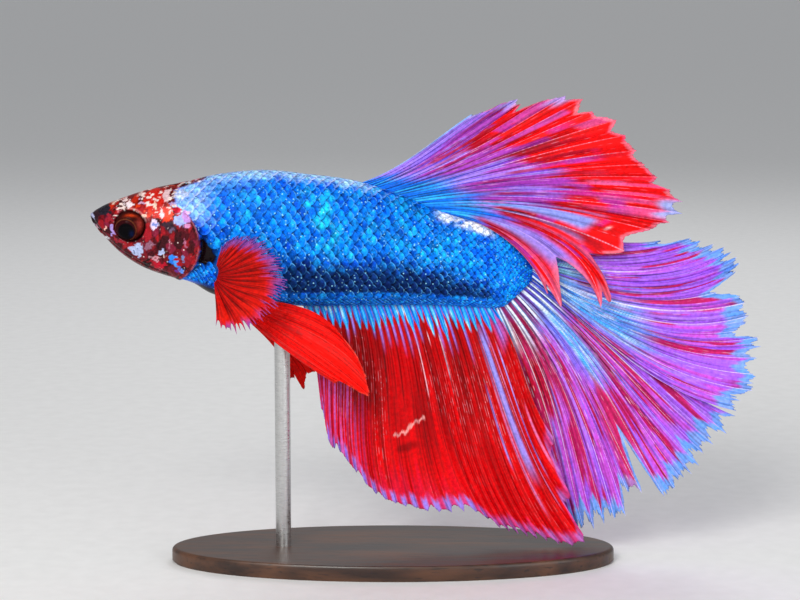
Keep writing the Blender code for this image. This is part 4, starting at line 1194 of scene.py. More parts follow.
def dorsal_colour(ray, share, rest, places):
    blue, cyan, violet, lilac, magenta, crimson, scarlet, pink, sky = palette(
        "#0E74EA", "#35B8FA", "#7A50E2", "#A684F4", "#AE36B0", "#A80420", "#EE0A0E", "#E4588E", "#8FB4F8"
    )
    streak, fleck = streaks(ray, share, 3, 0.3, 31), streaks(ray, share, 3, 0.08, 32)
    drift = drifts(ray, share, 1.4, 0.4, 33)
    colour = mix(blue, cyan, soft(streak + 0.1 * soft(ray, 9, 13), 0.5, 0.85))
    violets = mix(violet, lilac, soft(streak, 0.35, 0.65))
    first_rays = 1 - soft(ray, 1.8, 2.8)
    violets = mix(violets, lilac, 0.6 * first_rays)
    pinkish = 0.5 * streaks(ray, share, 3, 0.2, 39) + 0.5 * drift
    pinkish = pinkish + 0.12 * soft(share, 0.3, 0.6) - 0.3 * first_rays
    violets = mix(violets, magenta, 0.85 * soft(pinkish, 0.5, 0.66))
    crimsons = 0.5 * streaks(ray, share, 3, 0.25, 29) + 0.5 * drifts(ray, share, 0.8, 0.3, 28)
    crimsons = soft(crimsons + 0.15 * near_ray(ray, 4.4, 2.2) * near_ray(share, 0.5, 0.2), 0.58, 0.68)
    crimsons = crimsons * soft(share, 0.2, 0.35) * (1 - first_rays)
    violets = mix(violets, crimson, 0.8 * crimsons)
    to_violet = np.interp(ray, (0, 2, 6, 11, 16, 19, 24), (0.14, 0.15, 0.17, 0.22, 0.25, 0.28, 0.22))
    unsteady = 0.6 * streak + 0.4 * drift - 0.5
    colour = mix(colour, violets, soft(share + 0.3 * unsteady, to_violet - 0.06, to_violet + 0.08))
    to_red = np.interp(
        ray,
        (0, 1.9, 2.6, 3.6, 4.3, 5, 8, 12, 14, 16, 18, 19, 24),
        (1.6, 1.5, 1.2, 0.95, 0.62, 0.5, 0.62, 0.64, 0.66, 0.62, 0.52, 0.34, 0.26),
    )
    reds = mix(crimson, scarlet, soft(0.6 * streaks(ray, share, 3, 0.3, 34) + 0.45 * share, 0.46, 0.68))
    inside = soft(share, 0.4, 0.55) * (1 - soft(share, 0.78, 0.92))
    reds = mix(reds, magenta, 0.75 * soft(streaks(ray, share, 2, 0.16, 35), 0.66, 0.74) * inside)
    colour = mix(colour, reds, soft(share + 0.4 * unsteady, to_red - 0.05, to_red + 0.05))
    upper = (1 - soft(ray, 7.5, 9.5)) * soft(ray, 1.5, 2.5)
    blush = soft(streaks(ray, share, 2, 0.3, 36) + 0.12 * upper, 0.78, 0.88) * soft(share, 0.6, 0.75)
    colour = mix(colour, mix(pink, magenta, 0.6 * upper), 0.8 * blush * (ray < 19.3))
    rear_blush = near_ray(ray, 15.2, 2.6) * soft(share, 0.55, 0.8)
    rear_blush = rear_blush * soft(streaks(ray, share, 3, 0.25, 30), 0.5, 0.66)
    colour = mix(colour, hex_colour("#E866B4"), 0.5 * rear_blush)
    rim = 1 - soft(rest, 0.1 + 0.3 * fleck, 0.25 + 0.5 * fleck)
    colour = mix(colour, mix(pink, hex_colour("#F08C9A"), fleck), 0.7 * rim * (ray < 19.3))
    tips = np.maximum(near_ray(ray, 15.8, 1.2), np.maximum(near_ray(ray, 3, 0.8), near_ray(ray, 0.3, 1.4)))
    deep = 1.2 - 0.7 * (1 - soft(ray, 1.5, 2.5))
    tips = (1 - soft(rest, 0.5 * deep, 1.7 * deep)) * np.maximum(tips, 0.9 * near_ray(ray, 6, 0.7))
    colour = mix(colour, mix(sky, hex_colour("#C0A2FA"), 0.6 * (ray < 14)), 0.85 * tips)
    colour = mix(colour, hex_colour("#7AB6FF"), 0.9 * near_ray(ray, 0, 0.4))
    banded = mix(hex_colour("#5AB4FA"), hex_colour("#8CA0FA"), soft(share + 0.3 * (streak - 0.5), 0.3, 0.6))
    for centre, half, amount in ((17.6, 0.5, 0.95), (18.4, 0.22, 0.8), (16.8, 0.22, 0.8)):
        band = (
            near_ray(ray, centre + 1.1 * share, half) * (1 - soft(share, 0.79, 0.85)) * soft(share, 0.1, 0.2)
        )
        colour = mix(colour, banded, amount * band * (1 - 0.6 * (half < 0.3) * soft(share, 0.35, 0.65)))
    webs = near_ray(ray, 21.9, 0.8)
    colour = mix(colour, mix(hex_colour("#9068E4"), sky, 0.6 * streak), webs * soft(share, 0.2, 0.35) * 0.9)
    for centre, half in ((19.75, 0.28), (22.9, 0.2), (24, 0.45)):
        line = near_ray(ray, centre, half) * soft(share, 0.35, 0.5)
        colour = mix(colour, hex_colour("#E0507E"), 0.8 * line)
    salmon = (1 - soft(rest, 0.4, 2.0)) * soft(ray, 19.5, 19.9) * soft(share, 0.7, 0.8)
    colour = mix(colour, hex_colour("#E86C8C"), 0.8 * salmon)
    rolled = near_ray(ray, 18.4, 0.9) * soft(share, 0.86, 0.88) * (1 - soft(share, 0.95, 0.99))
    colour = mix(colour, scarlet, 0.9 * rolled)
    # A painted highlight on the rolled fold.
    painted_highlight = np.exp(-(((ray - 18.45) / 0.09) ** 2) - ((share - 0.895) / 0.008) ** 2)
    colour = mix(colour, hex_colour("#FFD8DC"), 0.9 * painted_highlight)
    colour = with_crease_shade(colour, ray, share, 3, 0.6, 46)
    beads = (0.35 + 0.5 * soft(drift, 0.35, 0.6)) * soft(share, 0.04, 0.15)
    return colour, beads * (1 - 0.5 * soft(share, 0.5, 0.7)), 0.0


satin_fin = membrane(
    "violet_red_fin_membrane", lines=3, bead_colour="#FFC8F0", length=24.0, fold_shade_strength=0.9, gap=0.46
)
dorsal = fin_piece(
    "dorsal_fin_sail",
    "dorsal_fin",
    DORSAL_RAYS,
    along_edge(*DORSAL_ROOT, "back"),
    DORSAL_NOTCHES,
    dorsal_colour,
    satin_fin,
    per_ray=12,
    rows=120,
    teeth=(0.045, 0.03, 0.012, 0.02),
    lines=3,
)

# ------------------------------------------------------------------------------------------------ anal fin
# The anal fin hangs from most of the belly. Each ray starts in a cyan, finger-like root, the web is deep red
# with painted shade in its folds, and the comb of its edge is pink and lavender.

ANAL_RAYS = (
    (0, 23.6, -20.0, -72, -84, 0.3),
    (2, 24.4, -23.6, -72, -84, 0.5),
    (5, 26.3, -25.6, -71, -80, 0.3),
    (8, 29.2, -28.8, -70, -75, -0.3),
    (11, 32.3, -30.1, -69, -72, -0.5),
    (14, 35.8, -30.9, -68, -68, 0.0),
    (17, 39.6, -31.0, -68, -60, 0.5),
    (19, 42.0, -32.5, -68, -56, 0.3),
    (22, 44.8, -33.2, -68, -54, -0.4),
    (25, 48.0, -33.8, -68, -52, -1.2),
    (27, 50.6, -33.5, -67, -50, -1.9),
    (28.4, 50.0, -29.8, -62, -44, -2.3),
    (30, 47.3, -22.4, -53, -54, -2.6),
)
ANAL_ROOT = (21.7, 41.2)
ANAL_NOTCHES = ((1.0, 0.9, 0.1), (3.6, 1.0, 0.03), (27.9, 0.6, 0.12), (29.2, 0.6, 0.12))
NICK = ((31.2, -22.8), (32.4, -22.4), (33.0, -21.6), (34.2, -21.0))


def stretch(ray, share, centre, half, rise, fall):
    """1 near a ray over the stretch of it between its rise and its fall, and 0 elsewhere."""
    return near_ray(ray, centre, half) * soft(share, *rise) * (1 - soft(share, *fall))


def anal_colour(ray, share, rest, places):
    red, bright, dark, rose, pink, lavender, cyan, blue, lilac = palette(
        "#C00006", "#E8040C", "#780106", "#E41C44", "#DE4698", "#A08CF6", "#40C4FC", "#0A80F4", "#9474E6"
    )
    streak, fleck = streaks(ray, share, 3, 0.35, 41), streaks(ray, share, 3, 0.06, 42)
    number = np.round(ray)
    from_ray = np.abs(ray - number)
    colour = mix(red, bright, soft(0.5 * streak + 0.6 * share, 0.4, 0.85))
    # Painted shade in folds of the web, stronger round the sixth ray and gone near the edge.
    shade = soft(streaks(ray, share, 1, 0.5, 43) + 0.25 * near_ray(ray, 6, 4), 0.45, 0.75)
    colour = mix(colour, dark, 0.6 * shade * (1 - soft(share, 0.5, 0.85)))
    rosy = soft(share + 0.35 * (streak - 0.5), 0.82, 0.98)
    colour = mix(colour, rose, (0.6 - 0.55 * soft(ray, 13, 18)) * rosy)
    rim = 1 - soft(rest, 0.3 + 0.5 * fleck, 1.0 + fleck)
    colour = mix(colour, pink, 0.75 * rim * (0.3 + 0.7 * soft(ray, 12, 16)))
    deep = hash_of(number, 5)
    tips = (1 - soft(rest, 0.5 + 0.7 * deep, 1.1 + 0.9 * deep)) * near_ray(from_ray, 0, 0.42)
    colour = mix(colour, lavender, 0.95 * tips * (1 - 0.5 * soft(ray, 17, 19)))
    front_lines = near_ray(ray * 2, np.round(ray * 2), 0.3) * (1 - soft(ray, 4, 9)) * soft(share, 0.4, 0.6)
    colour = mix(colour, hex_colour("#C86ED8"), 0.7 * front_lines * soft(streak, 0.2, 0.5))
    streamer = stretch(ray, share, 26.4, 0.5, (0.06, 0.16), (0.6, 0.76))
    streamer = np.maximum(streamer, stretch(ray, share, 24.7, 0.16, (0.3, 0.4), (0.6, 0.7)))
    streamer = np.maximum(streamer, stretch(ray, share, 28.0, 0.18, (0.15, 0.25), (0.7, 0.8)))
    colour = mix(colour, mix(lavender, hex_colour("#8A9CFA"), streak), 0.92 * streamer)
    for centre, start in ((25.75, 0.1), (27.3, 0.1), (28.9, 0.5)):
        edge = stretch(ray, share, centre, 0.13, (start, start + 0.1), (0.8, 0.9))
        colour = mix(colour, hex_colour("#EE8CD2"), 0.7 * edge)
    fold = near_ray(ray, 29.1, 0.9) * (1 - soft(share, 0.16, 0.26))
    colour = mix(colour, mix(lilac, pink, streak), 0.85 * fold)
    for centre, start, stop in ((16, 0.1, 0.46), (19.7, 0.12, 0.34), (18, 0.12, 0.2)):
        pale = stretch(ray, share, centre, 0.12, (start, start + 0.03), (stop - 0.05, stop))
        colour = mix(colour, hex_colour("#F6E6FA"), 0.85 * pale)
    dash = near_ray(ray - number, 0.1 * (hash_of(number, 12) - 0.5), 0.34) * (hash_of(number, 7) > 0.4)
    dash = dash * (1 - soft(share, 0.13, 0.18 + 0.1 * hash_of(number, 8)))
    colour = mix(colour, mix(lilac, lavender, fleck), 0.85 * dash)
    reach = 0.06 + 0.09 * hash_of(number, 6)
    width = 0.53 - 0.3 * soft(share, reach - 0.05, reach + 0.01)
    finger = (1 - soft(from_ray, width - 0.1, width)) * (1 - soft(share, reach, reach + 0.02))
    cyans = mix(blue, cyan, soft(0.62 - 1.6 * from_ray + 0.5 * fleck, 0.3, 0.9))
    colour = mix(colour, mix(cyans, hex_colour("#A8E6FF"), soft(fleck, 0.75, 0.9)), finger)
    nick = line_distance(places[..., 0], places[..., 2] + 0.12 * np.sin(places[..., 0] * 9), NICK)
    colour = mix(colour, hex_colour("#F8A8A4"), 0.85 * (1 - soft(nick + 0.1 * (fleck - 0.5), 0.08, 0.2)))
    below = line_distance(places[..., 0], places[..., 2], ((31.8, -24.2), (33.2, -23.8)))
    colour = mix(colour, dark * 0.5, 0.6 * (1 - soft(below, 0.1, 0.7)))
    colour = with_crease_shade(colour, ray, share, 3, 0.6, 47)
    beads = 0.6 * soft(drifts(ray, share, 2.2, 0.3, 44), 0.35, 0.65) * soft(share, 0.1, 0.2)
    beads = beads * (1 - 0.6 * soft(share, 0.45, 0.65) * soft(ray, 12, 16))
    return colour, beads, 0.3 * finger


red_fin = membrane(
    "red_anal_fin_membrane", lines=3, bead_colour="#FFB8C8", length=24.0, fold_shade_strength=0.65, gap=0.58
)
anal = fin_piece(
    "anal_fin_sail",
    "anal_fin",
    ANAL_RAYS,
    along_edge(*ANAL_ROOT, "belly"),
    ANAL_NOTCHES,
    anal_colour,
    red_fin,
    per_ray=12,
    rows=120,
    teeth=(0.015, 0.026, 0.008, 0.012),
    lines=3,
)

# ------------------------------------------------------------------------------------------------ tail fin
# The tail is a half-circle fan in two lobes, the lower one behind the upper where they meet. Its rays leave
# the tail stalk white and cyan, turn purple with crimson streaks, and end in sky-blue teeth.

TAIL_ROOT = (43.7, 41.4)
TAIL_MIDDLE = (40.0, -5.9)
BUNCH_RAYS = 2.3
# Shares of the way from the back to the belly where a lobe's root starts and ends, and its y
UPPER_LOBE = (0.0, 0.58, -0.1575)
LOWER_LOBE = (0.58, 1.0, 0.1925)
UPPER_TAIL_RAYS = (
    (0, 58.0, -2.8, 30, 8, 0.9),
    (2, 60.8, -2.7, 2, 20, 0.7),
    (5, 64.2, -3.7, -12, 27, 0.2),
    (8, 65.7, -5.3, -22, 28, -0.3),
    (9.5, 65.5, -6.3, -26, 30, -0.5),
    (10.5, 66.3, -8.3, -29, 14, -0.3),
    (12, 66.8, -10.6, -34, 14, 0.2),
    (14, 68.0, -12.8, -38, 9, 0.6),
    (16, 67.8, -14.8, -38, 0, 0.3),
    (18, 67.3, -18.0, -38, -8, -0.3),
    (20, 65.5, -19.9, -38, -14, -0.8),
)
UPPER_TAIL_NOTCHES = ((1.1, 0.8, 0.12), (9.9, 0.55, 0.15), (13.1, 0.7, 0.08), (18.9, 0.6, 0.04))
LOWER_TAIL_RAYS = (
    (20, 65.7, -20.6, -33, -24, 0.5),
    (21, 64.9, -22.2, -34, -40, 0.7),
    (22, 63.6, -23.4, -37, -42, 0.9),
    (24, 62.1, -25.5, -38, -46, 1.2),
    (26, 60.6, -27.1, -38, -52, 0.9),
    (28, 58.8, -28.6, -39, -60, 0.5),
    (29, 56.5, -28.3, -42, -62, 0.4),
    (31, 55.0, -30.7, -46, -72, 0.8),
    (33, 52.8, -31.4, -49, -75, 1.2),
    (35, 50.8, -32.5, -52, -75, 1.3),
    (37, 49.2, -32.0, -66, -74, 1.5),
    (38, 46.4, -29.4, -77, -76, 1.5),
)
LOWER_TAIL_NOTCHES = ((28.5, 0.4, 0.2), (30.2, 0.6, 0.06))


def round_tail_end(first, last, y):
    """Roots round the end of the tail stalk, between two shares of the way from the back to the belly."""
    back, belly = t_at(TAIL_ROOT[0]), np.interp(TAIL_ROOT[1], BELLY_AFT, T_TABLE)

    def root(share):
        turn = 2 * (first + (last - first) * share)
        upper = ribs_at(np.where(turn < 1, back + (1 - back) * turn, 1.0))
        lower = ribs_at(np.where(turn < 1, 1.0, 1 + (belly - 1) * (turn - 1)))
        aft, up = np.where(turn < 1, upper[0], lower[2]), np.where(turn < 1, upper[1], lower[3])
        away = np.stack((aft - TAIL_MIDDLE[0], up - TAIL_MIDDLE[1]))
        away = away / np.linalg.norm(away, axis=0) * FIN_ROOT_DEPTH
        return aft - away[0], y + 0 * aft, up - away[1]

    return root


def tail_colour(ray, share, rest, places):
    white, cyan, peri, violet, purple, lilac, magenta, crimson, red, sky = palette(
        "#EAF6FF",
        "#36BEFF",
        "#6A86FC",
        "#8454F2",
        "#AC60F8",
        "#C294FF",
        "#DA4CD0",
        "#B00844",
        "#C00416",
        "#4EA2FA",
    )
    streak, fleck = streaks(ray, share, 4, 0.3, 51), streaks(ray, share, 4, 0.07, 52)
    drift, low = drifts(ray, share, 1.5, 0.3, 53), soft(ray, 17, 25)
    colour = mix(peri, violet, soft(share + 0.3 * (streak - 0.5), 0.1, 0.35))
    colour = mix(colour, purple, soft(share + 0.3 * (drift - 0.5), 0.2, 0.45))
    colour = mix(colour, lilac, 0.35 * soft(streak, 0.5, 0.8))
    bluish = soft(0.5 * streak + 0.5 * drifts(ray, share, 1, 0.3, 54), 0.55, 0.68)
    colour = mix(colour, peri, 0.75 * bluish * (1 - soft(share, 0.5, 0.8)))
    pinkish = 0.5 * streaks(ray, share, 4, 0.22, 55) + 0.5 * drifts(ray, share, 1.1, 0.25, 50) + 0.08 * low
    colour = mix(colour, magenta, 0.7 * soft(pinkish, 0.52, 0.64) * soft(ray, 2, 9))
    heavy = np.interp(
        ray,
        (0, 3, 6, 9, 11, 14, 17, 19, 21, 24, 28, 31, 34, 38),
        (0.1, 0.35, 0.45, 0.35, 0.35, 0.45, 0.4, 0.5, 0.75, 0.65, 0.6, 0.45, 0.4, 0.4),
    )
    heavy = heavy * soft(share, 0.1, 0.3) * (1 - 0.5 * soft(share, 0.6, 0.95))
    amount = (
        0.55 * streaks(ray, share, 4, 0.3, 56)
        + 0.45 * drifts(ray, share, 0.6, 0.3, 57)
        + 0.06 * (fleck - 0.5)
    )
    amount = soft(amount + 0.28 * heavy, 0.65, 0.72)
    colour = mix(colour, mix(crimson, hex_colour("#D61450"), fleck), 0.92 * amount * soft(share, 0.06, 0.15))
    near_anal = soft(ray, 31.5, 33.5) * soft(share, 0.05, 0.1)
    near_anal = near_anal * (1 - soft(share + 0.3 * (streak - 0.5), 0.4, 0.58))
    near_anal = near_anal * (1 - 0.6 * soft(streak, 0.7, 0.85))
    colour = mix(colour, mix(red, crimson, 0.6 * fleck), 0.88 * near_anal)
    number = np.round(ray)
    ladder = stretch(ray, share, 3, 5.0, (0.04, 0.08), (0.3, 0.44))
    ladder = np.maximum(ladder, stretch(ray, share, 14.5, 5.5, (0.03, 0.1), (0.44, 0.64)))
    ladder = np.maximum(ladder, stretch(ray, share, 27.5, 3.6, (0.05, 0.1), (0.36, 0.56)))
    rungs = (
        near_ray(ray - number, 0, 0.6) * (hash_of(number, 9) > 0.12) * (0.5 + 0.5 * soft(fleck, 0.25, 0.45))
    )
    colour = mix(colour, mix(peri, violet, 0.4 * fleck), 0.7 * ladder)
    colour = mix(colour, mix(cyan, white, 0.7 * soft(fleck, 0.5, 0.8)), 0.95 * ladder * rungs)
    # At the root the rays lie in bunches, which look like strokes of white with blue or crimson between.
    bunch = np.round(ray / BUNCH_RAYS)
    stub = 1 - soft(share, 0.1, 0.2 + 0.14 * hash_of(bunch, 10))
    bony = near_ray(ray / BUNCH_RAYS - bunch, 0, 0.34)
    between = mix(hex_colour("#3C7CF0"), hex_colour("#1E5CD8"), soft(ray, 7, 12))
    between = mix(between, crimson * 0.6, soft(ray, 24, 33))
    colour = mix(colour, between, (0.5 + 0.35 * soft(ray, 7, 12)) * stub * (1 - bony))
    colour = mix(colour, mix(cyan, white, soft(fleck + 0.3 * bony, 0.3, 0.7)), stub * bony)
    strand = near_ray(ray - number, 0.0, 0.13) * (hash_of(number, 13) > 0.4) * soft(share, 0.08, 0.14)
    strand *= (1 - soft(share, 0.45, 0.75)) * (1 - 0.5 * soft(ray, 30, 32))
    colour = mix(colour, mix(white, lilac, 0.4 * fleck), 0.85 * strand)
    torn = near_ray(ray, 29.2, 0.7) * soft(share, 0.5, 0.7)
    colour = mix(colour, hex_colour("#C82A62"), 0.7 * torn)
    depth = 0.5 + 1.3 * hash_of(np.floor(ray * 2), 11)
    tooth = (1 - soft(rest, depth - 0.2, depth + 0.5)) * (1 - 0.6 * near_ray(ray, 29.4, 0.5))
    colour = mix(colour, mix(sky, hex_colour("#A4BCFF"), 0.6 * fleck), 0.92 * tooth)
    upper_root = (1 - soft(ray, 8, 12)) * (1 - soft(share + 0.1 * fleck, 0.2, 0.42))
    icy = mix(hex_colour("#86E2FF"), mix(peri, violet, fleck), soft(streak, 0.45, 0.65))
    colour = mix(colour, icy, 0.85 * upper_root)
    colour = with_crease_shade(colour, ray, share, 4, 0.5 * (1 - 0.8 * np.maximum(ladder * rungs, stub * bony)), 48)
    beads = soft(share, 0.05, 0.12) * (0.55 + 0.45 * soft(drifts(ray, share, 2, 0.4, 59), 0.35, 0.6))
    return colour, beads * (1 - 0.3 * soft(share, 0.7, 0.95)), np.maximum(ladder * rungs, 0.6 * upper_root)


tail_membrane = membrane(
    "purple_tail_membrane", lines=4, bead_colour="#FFF0FF", length=26.0, fold_shade_strength=0.85, gap=0.4
)
for name, rays, lobe, notches in (
    ("tail_fin_upper", UPPER_TAIL_RAYS, UPPER_LOBE, UPPER_TAIL_NOTCHES),
    ("tail_fin_lower", LOWER_TAIL_RAYS, LOWER_LOBE, LOWER_TAIL_NOTCHES),
):
    lobe_piece = fin_piece(
        name + "_sail",
        name,
        rays,
        round_tail_end(*lobe),
        notches,
        tail_colour,
        tail_membrane,
        per_ray=16,
        rows=120,
        teeth=(0.05, 0.04, 0.022, 0.03),
        lines=4,
    )

# ------------------------------------------------------------------------------------------ pectoral fins
# The pectoral fins are round paddles on a short stalk behind the gill covers, spread wide. Their rays part at
# the edge into clear hair-fine tips, so the red thins out there to a violet haze.

PECTORAL_RAYS = (
    (0, 13.9, -2.4, 84, 80, -5.2),
    (2, 15.4, -1.5, 68, 56, -5.7),
    (4, 17.4, -1.4, 46, 40, -6.4),
    (6, 19.1, -2.5, 24, 18, -7.0),
    (8, 20.2, -4.5, 4, 0, -7.4),
    (10, 20.5, -6.4, -14, -18, -7.5),
    (12, 19.4, -8.6, -34, -38, -7.3),
    (14, 17.2, -10.6, -56, -60, -6.8),
    (15, 15.4, -11.2, -70, -76, -6.5),
    (16, 13.3, -10.6, -86, -94, -6.2),
)
PECTORAL_ROOT = ((13.4, -25.0), (13.1, -45.0))


def on_skin(ends, sign):
    """Roots on a short line across the skin of the left (1) or right (-1) side, between two (aft, angle)
    ends."""

    def root(share):
        aft, angle = (first + (last - first) * share for first, last in zip(*ends))
        found = on_body(t_at(aft), np.radians(angle), -FIN_ROOT_DEPTH)
        return found[..., 0], found[..., 1] * sign, found[..., 2]

    return root


def mirrored(rays):
    return tuple((*row[:5], -row[5]) for row in rays)


def pectoral_colour(ray, share, rest, places):
    base, red, bright, dark, haze, lilac = palette(
        "#A60808", "#BE0A06", "#DE1A0C", "#5A0404", "#3C46B8", "#8656A8"
    )
    streak, fleck = streaks(ray, share, 4, 0.4, 61), streaks(ray, share, 4, 0.1, 62)
    colour = mix(base, red, soft(share, 0.08, 0.35))
    colour = mix(colour, bright, 0.8 * soft(0.6 * streak + 0.5 * share, 0.4, 0.8))
    colour = mix(colour, dark, 0.75 * near_ray(ray - np.round(ray), 0, 0.26) * (1 - soft(share, 0.5, 0.8)))
    thin = np.interp(ray, (0, 4, 9, 13, 16), (0.62, 0.68, 0.78, 0.9, 0.93))
    outer = soft(share + 0.25 * (streak - 0.5), thin - 0.08, thin + 0.12)
    colour = mix(colour, mix(haze, lilac, fleck), 0.8 * outer)
    return with_crease_shade(colour, ray, share, 4, 0.5, 63), 0.16, 0.0


paddle = membrane(
    "red_paired_fin_membrane",
    lines=4,
    bead_colour="#F29088",
    length=9.0,
    fold_shade_strength=0.6,
    gap=0.46,
    roughness=0.42,
)
for side, sign, rays in (("left", 1.0, PECTORAL_RAYS), ("right", -1.0, mirrored(PECTORAL_RAYS))):
    pectoral = fin_piece(
        f"pectoral_paddle_{side}",
        f"pectoral_fin_{side}",
        rays,
        on_skin(PECTORAL_ROOT, sign),
        (),
        pectoral_colour,
        paddle,
        per_ray=24,
        rows=70,
        teeth=(0.04, 0.03, 0.16, 0.1),
        lines=4,
        pleat=0.08,
        ribbing=0.02,
        spread=0.9,
    )

# -------------------------------------------------------------------------------------------- pelvic fins
# The pelvic, or ventral, fins are long blades of a few strong rays under the throat, clear bright red with
# darker lines. The left one is spread and swept back, and the right one hangs in prongs.

LEFT_PELVIC_RAYS = (
    (0, 25.4, -16.7, -42, -28, -4.5),
    (1.2, 26.1, -16.6, -40, -30, -4.6),
    (3, 28.8, -17.9, -34, -40, -4.9),
    (4, 28.4, -16.0, -28, -54, -4.9),
    (5, 27.4, -13.8, -18, -54, -4.8),
    (6, 25.5, -11.3, -6, -48, -4.5),
)
RIGHT_PELVIC_RAYS = (
    (0, 20.2, -17.8, -52, -84, 3.6),
    (1, 20.7, -17.7, -50, -80, 3.8),
    (2, 21.6, -18.9, -48, -70, 4.1),
    (3, 22.2, -17.9, -45, -68, 4.3),
    (4, 23.1, -17.0, -40, -66, 4.4),
    (6, 24.4, -15.2, -30, -56, 4.6),
)
PELVIC_ROOT = ((13.4, -80.0), (15.2, -76.0))
LEFT_PELVIC_NOTCHES = ((1.3, 0.5, 0.03),)
RIGHT_PELVIC_NOTCHES = ((1.5, 0.5, 0.16), (3.0, 0.8, 0.05))


def pelvic_colour(ray, share, rest, places):
    base, red, bright, dark, tip = palette("#EC0E10", "#EC0809", "#F8140A", "#A8060A", "#F06A58")
    streak = streaks(ray, share, 6, 0.5, 71)
    colour = mix(base, red, soft(share, 0.05, 0.3))
    colour = mix(colour, bright, 0.8 * soft(0.6 * streak + 0.4 * share, 0.3, 0.7))
    dark_lines = soft(streaks(ray, share, 6, 0.6, 72), 0.6, 0.75) * (1 - soft(share, 0.6, 0.85))
    colour = mix(colour, dark, 0.6 * dark_lines)
    colour = mix(colour, hex_colour("#4CB8E8"), 0.8 * near_ray(ray, 0, 0.5) * (1 - soft(share, 0.1, 0.2)))
    colour = mix(colour, tip, 0.5 * soft(share, 0.96, 1.0))
    return with_crease_shade(colour, ray, share, 6, 0.5, 73), 0.12, 0.0


blade = membrane(
    "red_pelvic_fin_membrane",
    lines=6,
    bead_colour="#F29088",
    length=17.0,
    fold_shade_strength=0.5,
    gap=0.46,
    roughness=0.42,
)
for side, sign, rays, notches in (
    ("left", 1.0, LEFT_PELVIC_RAYS, LEFT_PELVIC_NOTCHES),
    ("right", -1.0, RIGHT_PELVIC_RAYS, RIGHT_PELVIC_NOTCHES),
):
    pelvic = fin_piece(
        f"pelvic_blade_{side}",
        f"pelvic_fin_{side}",
        rays,
        on_skin(PELVIC_ROOT, sign),
        notches,
        pelvic_colour,
        blade,
        per_ray=24,
        rows=90,
        teeth=(0.0, 0.01, 0.01, 0.02),
        lines=6,
        ribbing=0.03,
    )

# --------------------------------------------------------------------------------------------------- stand
# The stand is an oval foot of dark-stained walnut, planed, rounded at the edge and waxed, with a drilled hole
# that holds a rod of brushed stainless steel. The rod goes up into the belly.

base_low, base_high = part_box("stand_base")
base_centre = (base_low + base_high) / 2 / MM
base_reach = (base_high - base_low) / 2 / MM
EDGE_ROUND = 0.45
BASE_SIDES = 192


def turned(name, centre, profile, sides, squash, node):
    """A turned solid: a profile of (radius, height) spun round a vertical axis, and squashed to an oval."""
    spin = 2 * math.pi * np.arange(sides) / sides
    radius, height = np.array(profile).T
    x = centre[0] + np.outer(radius, np.cos(spin)) * squash[0]
    y = centre[1] + np.outer(radius, np.sin(spin)) * squash[1]
    z = np.broadcast_to(height[:, None], x.shape)
    places = np.stack((x - SNOUT_X, y, z - SNOUT_Z), -1)
    places = np.concatenate(
        (places.reshape(-1, 3), places[0].mean(axis=0)[None], places[-1].mean(axis=0)[None])
    )
    quads, tris = hoop_faces(len(profile), sides)
    # The lower half of the profile is unwrapped round one middle, and the upper half round another.
    out = radius / radius.max() * 0.22
    middles = np.where(np.arange(len(profile)) >= len(profile) / 2, 0.75, 0.25)
    across = middles[:, None] + np.outer(out, np.cos(spin))
    deep = 0.5 + np.outer(out + 0.02 * (height - height.min()), np.sin(spin))
    spot = np.concatenate((np.stack((across, deep), -1).reshape(-1, 2), ((0.25, 0.5), (0.75, 0.5))))
    corner_spots = np.clip(np.concatenate((spot[quads.ravel()], spot[tris.ravel()])), 0, 1)
    piece = make_piece(name, places, quads, np.ones((len(places), 3)), corner_spots, tris)
    piece.data.set_sharp_from_angle(angle=math.radians(40))
    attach(piece, "root")
    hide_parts(node)
    return piece


foot_low, foot_high = base_low.z / MM, base_high.z / MM
foot_profile = [
    (base_reach.x - EDGE_ROUND, foot_low),
    (base_reach.x - EDGE_ROUND * 0.5, foot_low),
    (base_reach.x, foot_low + EDGE_ROUND * 0.5),
]
foot_profile += [
    (base_reach.x - EDGE_ROUND * (1 - math.cos(a)), foot_high - EDGE_ROUND * (1 - math.sin(a)))
    for a in (math.radians(degrees) for degrees in range(0, 91, 10))
]
foot_profile += [(base_reach.x * share, foot_high) for share in (0.97, 0.9, 0.7, 0.4, 0.1)]
foot = turned(
    "stand_foot",
    (base_centre.x, base_centre.y),
    foot_profile,
    BASE_SIDES,
    (1.0, base_reach.y / base_reach.x),
    "stand_base",
)

# Walnut: growth lines about 1.5 mm apart run along the foot, with fine dark pores, under satin wax.
WALNUT_TONES = ((0.35, "#2A170E"), (0.68, "#5B3822"))
WANDER = (1.6 * MM,) * 3  # how far the growth lines stray
walnut, tree = new_material("waxed_dark_walnut", Roughness=0.4, IOR=1.5, Coat_Weight=0.2, Coat_Roughness=0.25)
place = add_node(tree, "ShaderNodeTexCoord", output="Object")
lengthwise = add_node(tree, "ShaderNodeMapping", {"Vector": place, "Scale": (0.12, 1.0, 1.0)})
warp = add_node(
    tree, "ShaderNodeTexNoise", {"Vector": lengthwise, "Scale": 1 / (4 * MM), "Detail": 2.0}, "Color"
)
wavy = add_node(tree, "ShaderNodeVectorMath", (warp, WANDER, lengthwise), operation="MULTIPLY_ADD")
growth = add_node(tree, "ShaderNodeTexNoise", {"Vector": wavy, "Scale": 1 / (1.5 * MM), "Detail": 4.0})
growth_lines = add_node(tree, "ShaderNodeValToRGB", (growth,))
for element, (at, code) in zip(growth_lines.node.color_ramp.elements, WALNUT_TONES):
    element.position = at
    element.color = (*hex_colour(code), 1.0)
pore_run = add_node(tree, "ShaderNodeMapping", {"Vector": place, "Scale": (0.1, 1.0, 1.0)})
pores = add_node(tree, "ShaderNodeTexNoise", {"Vector": pore_run, "Scale": 1 / (0.25 * MM), "Detail": 2.0})
dark_pores = add_node(tree, "ShaderNodeMapRange", (pores, 0.58, 0.7, 0.0, 0.8))
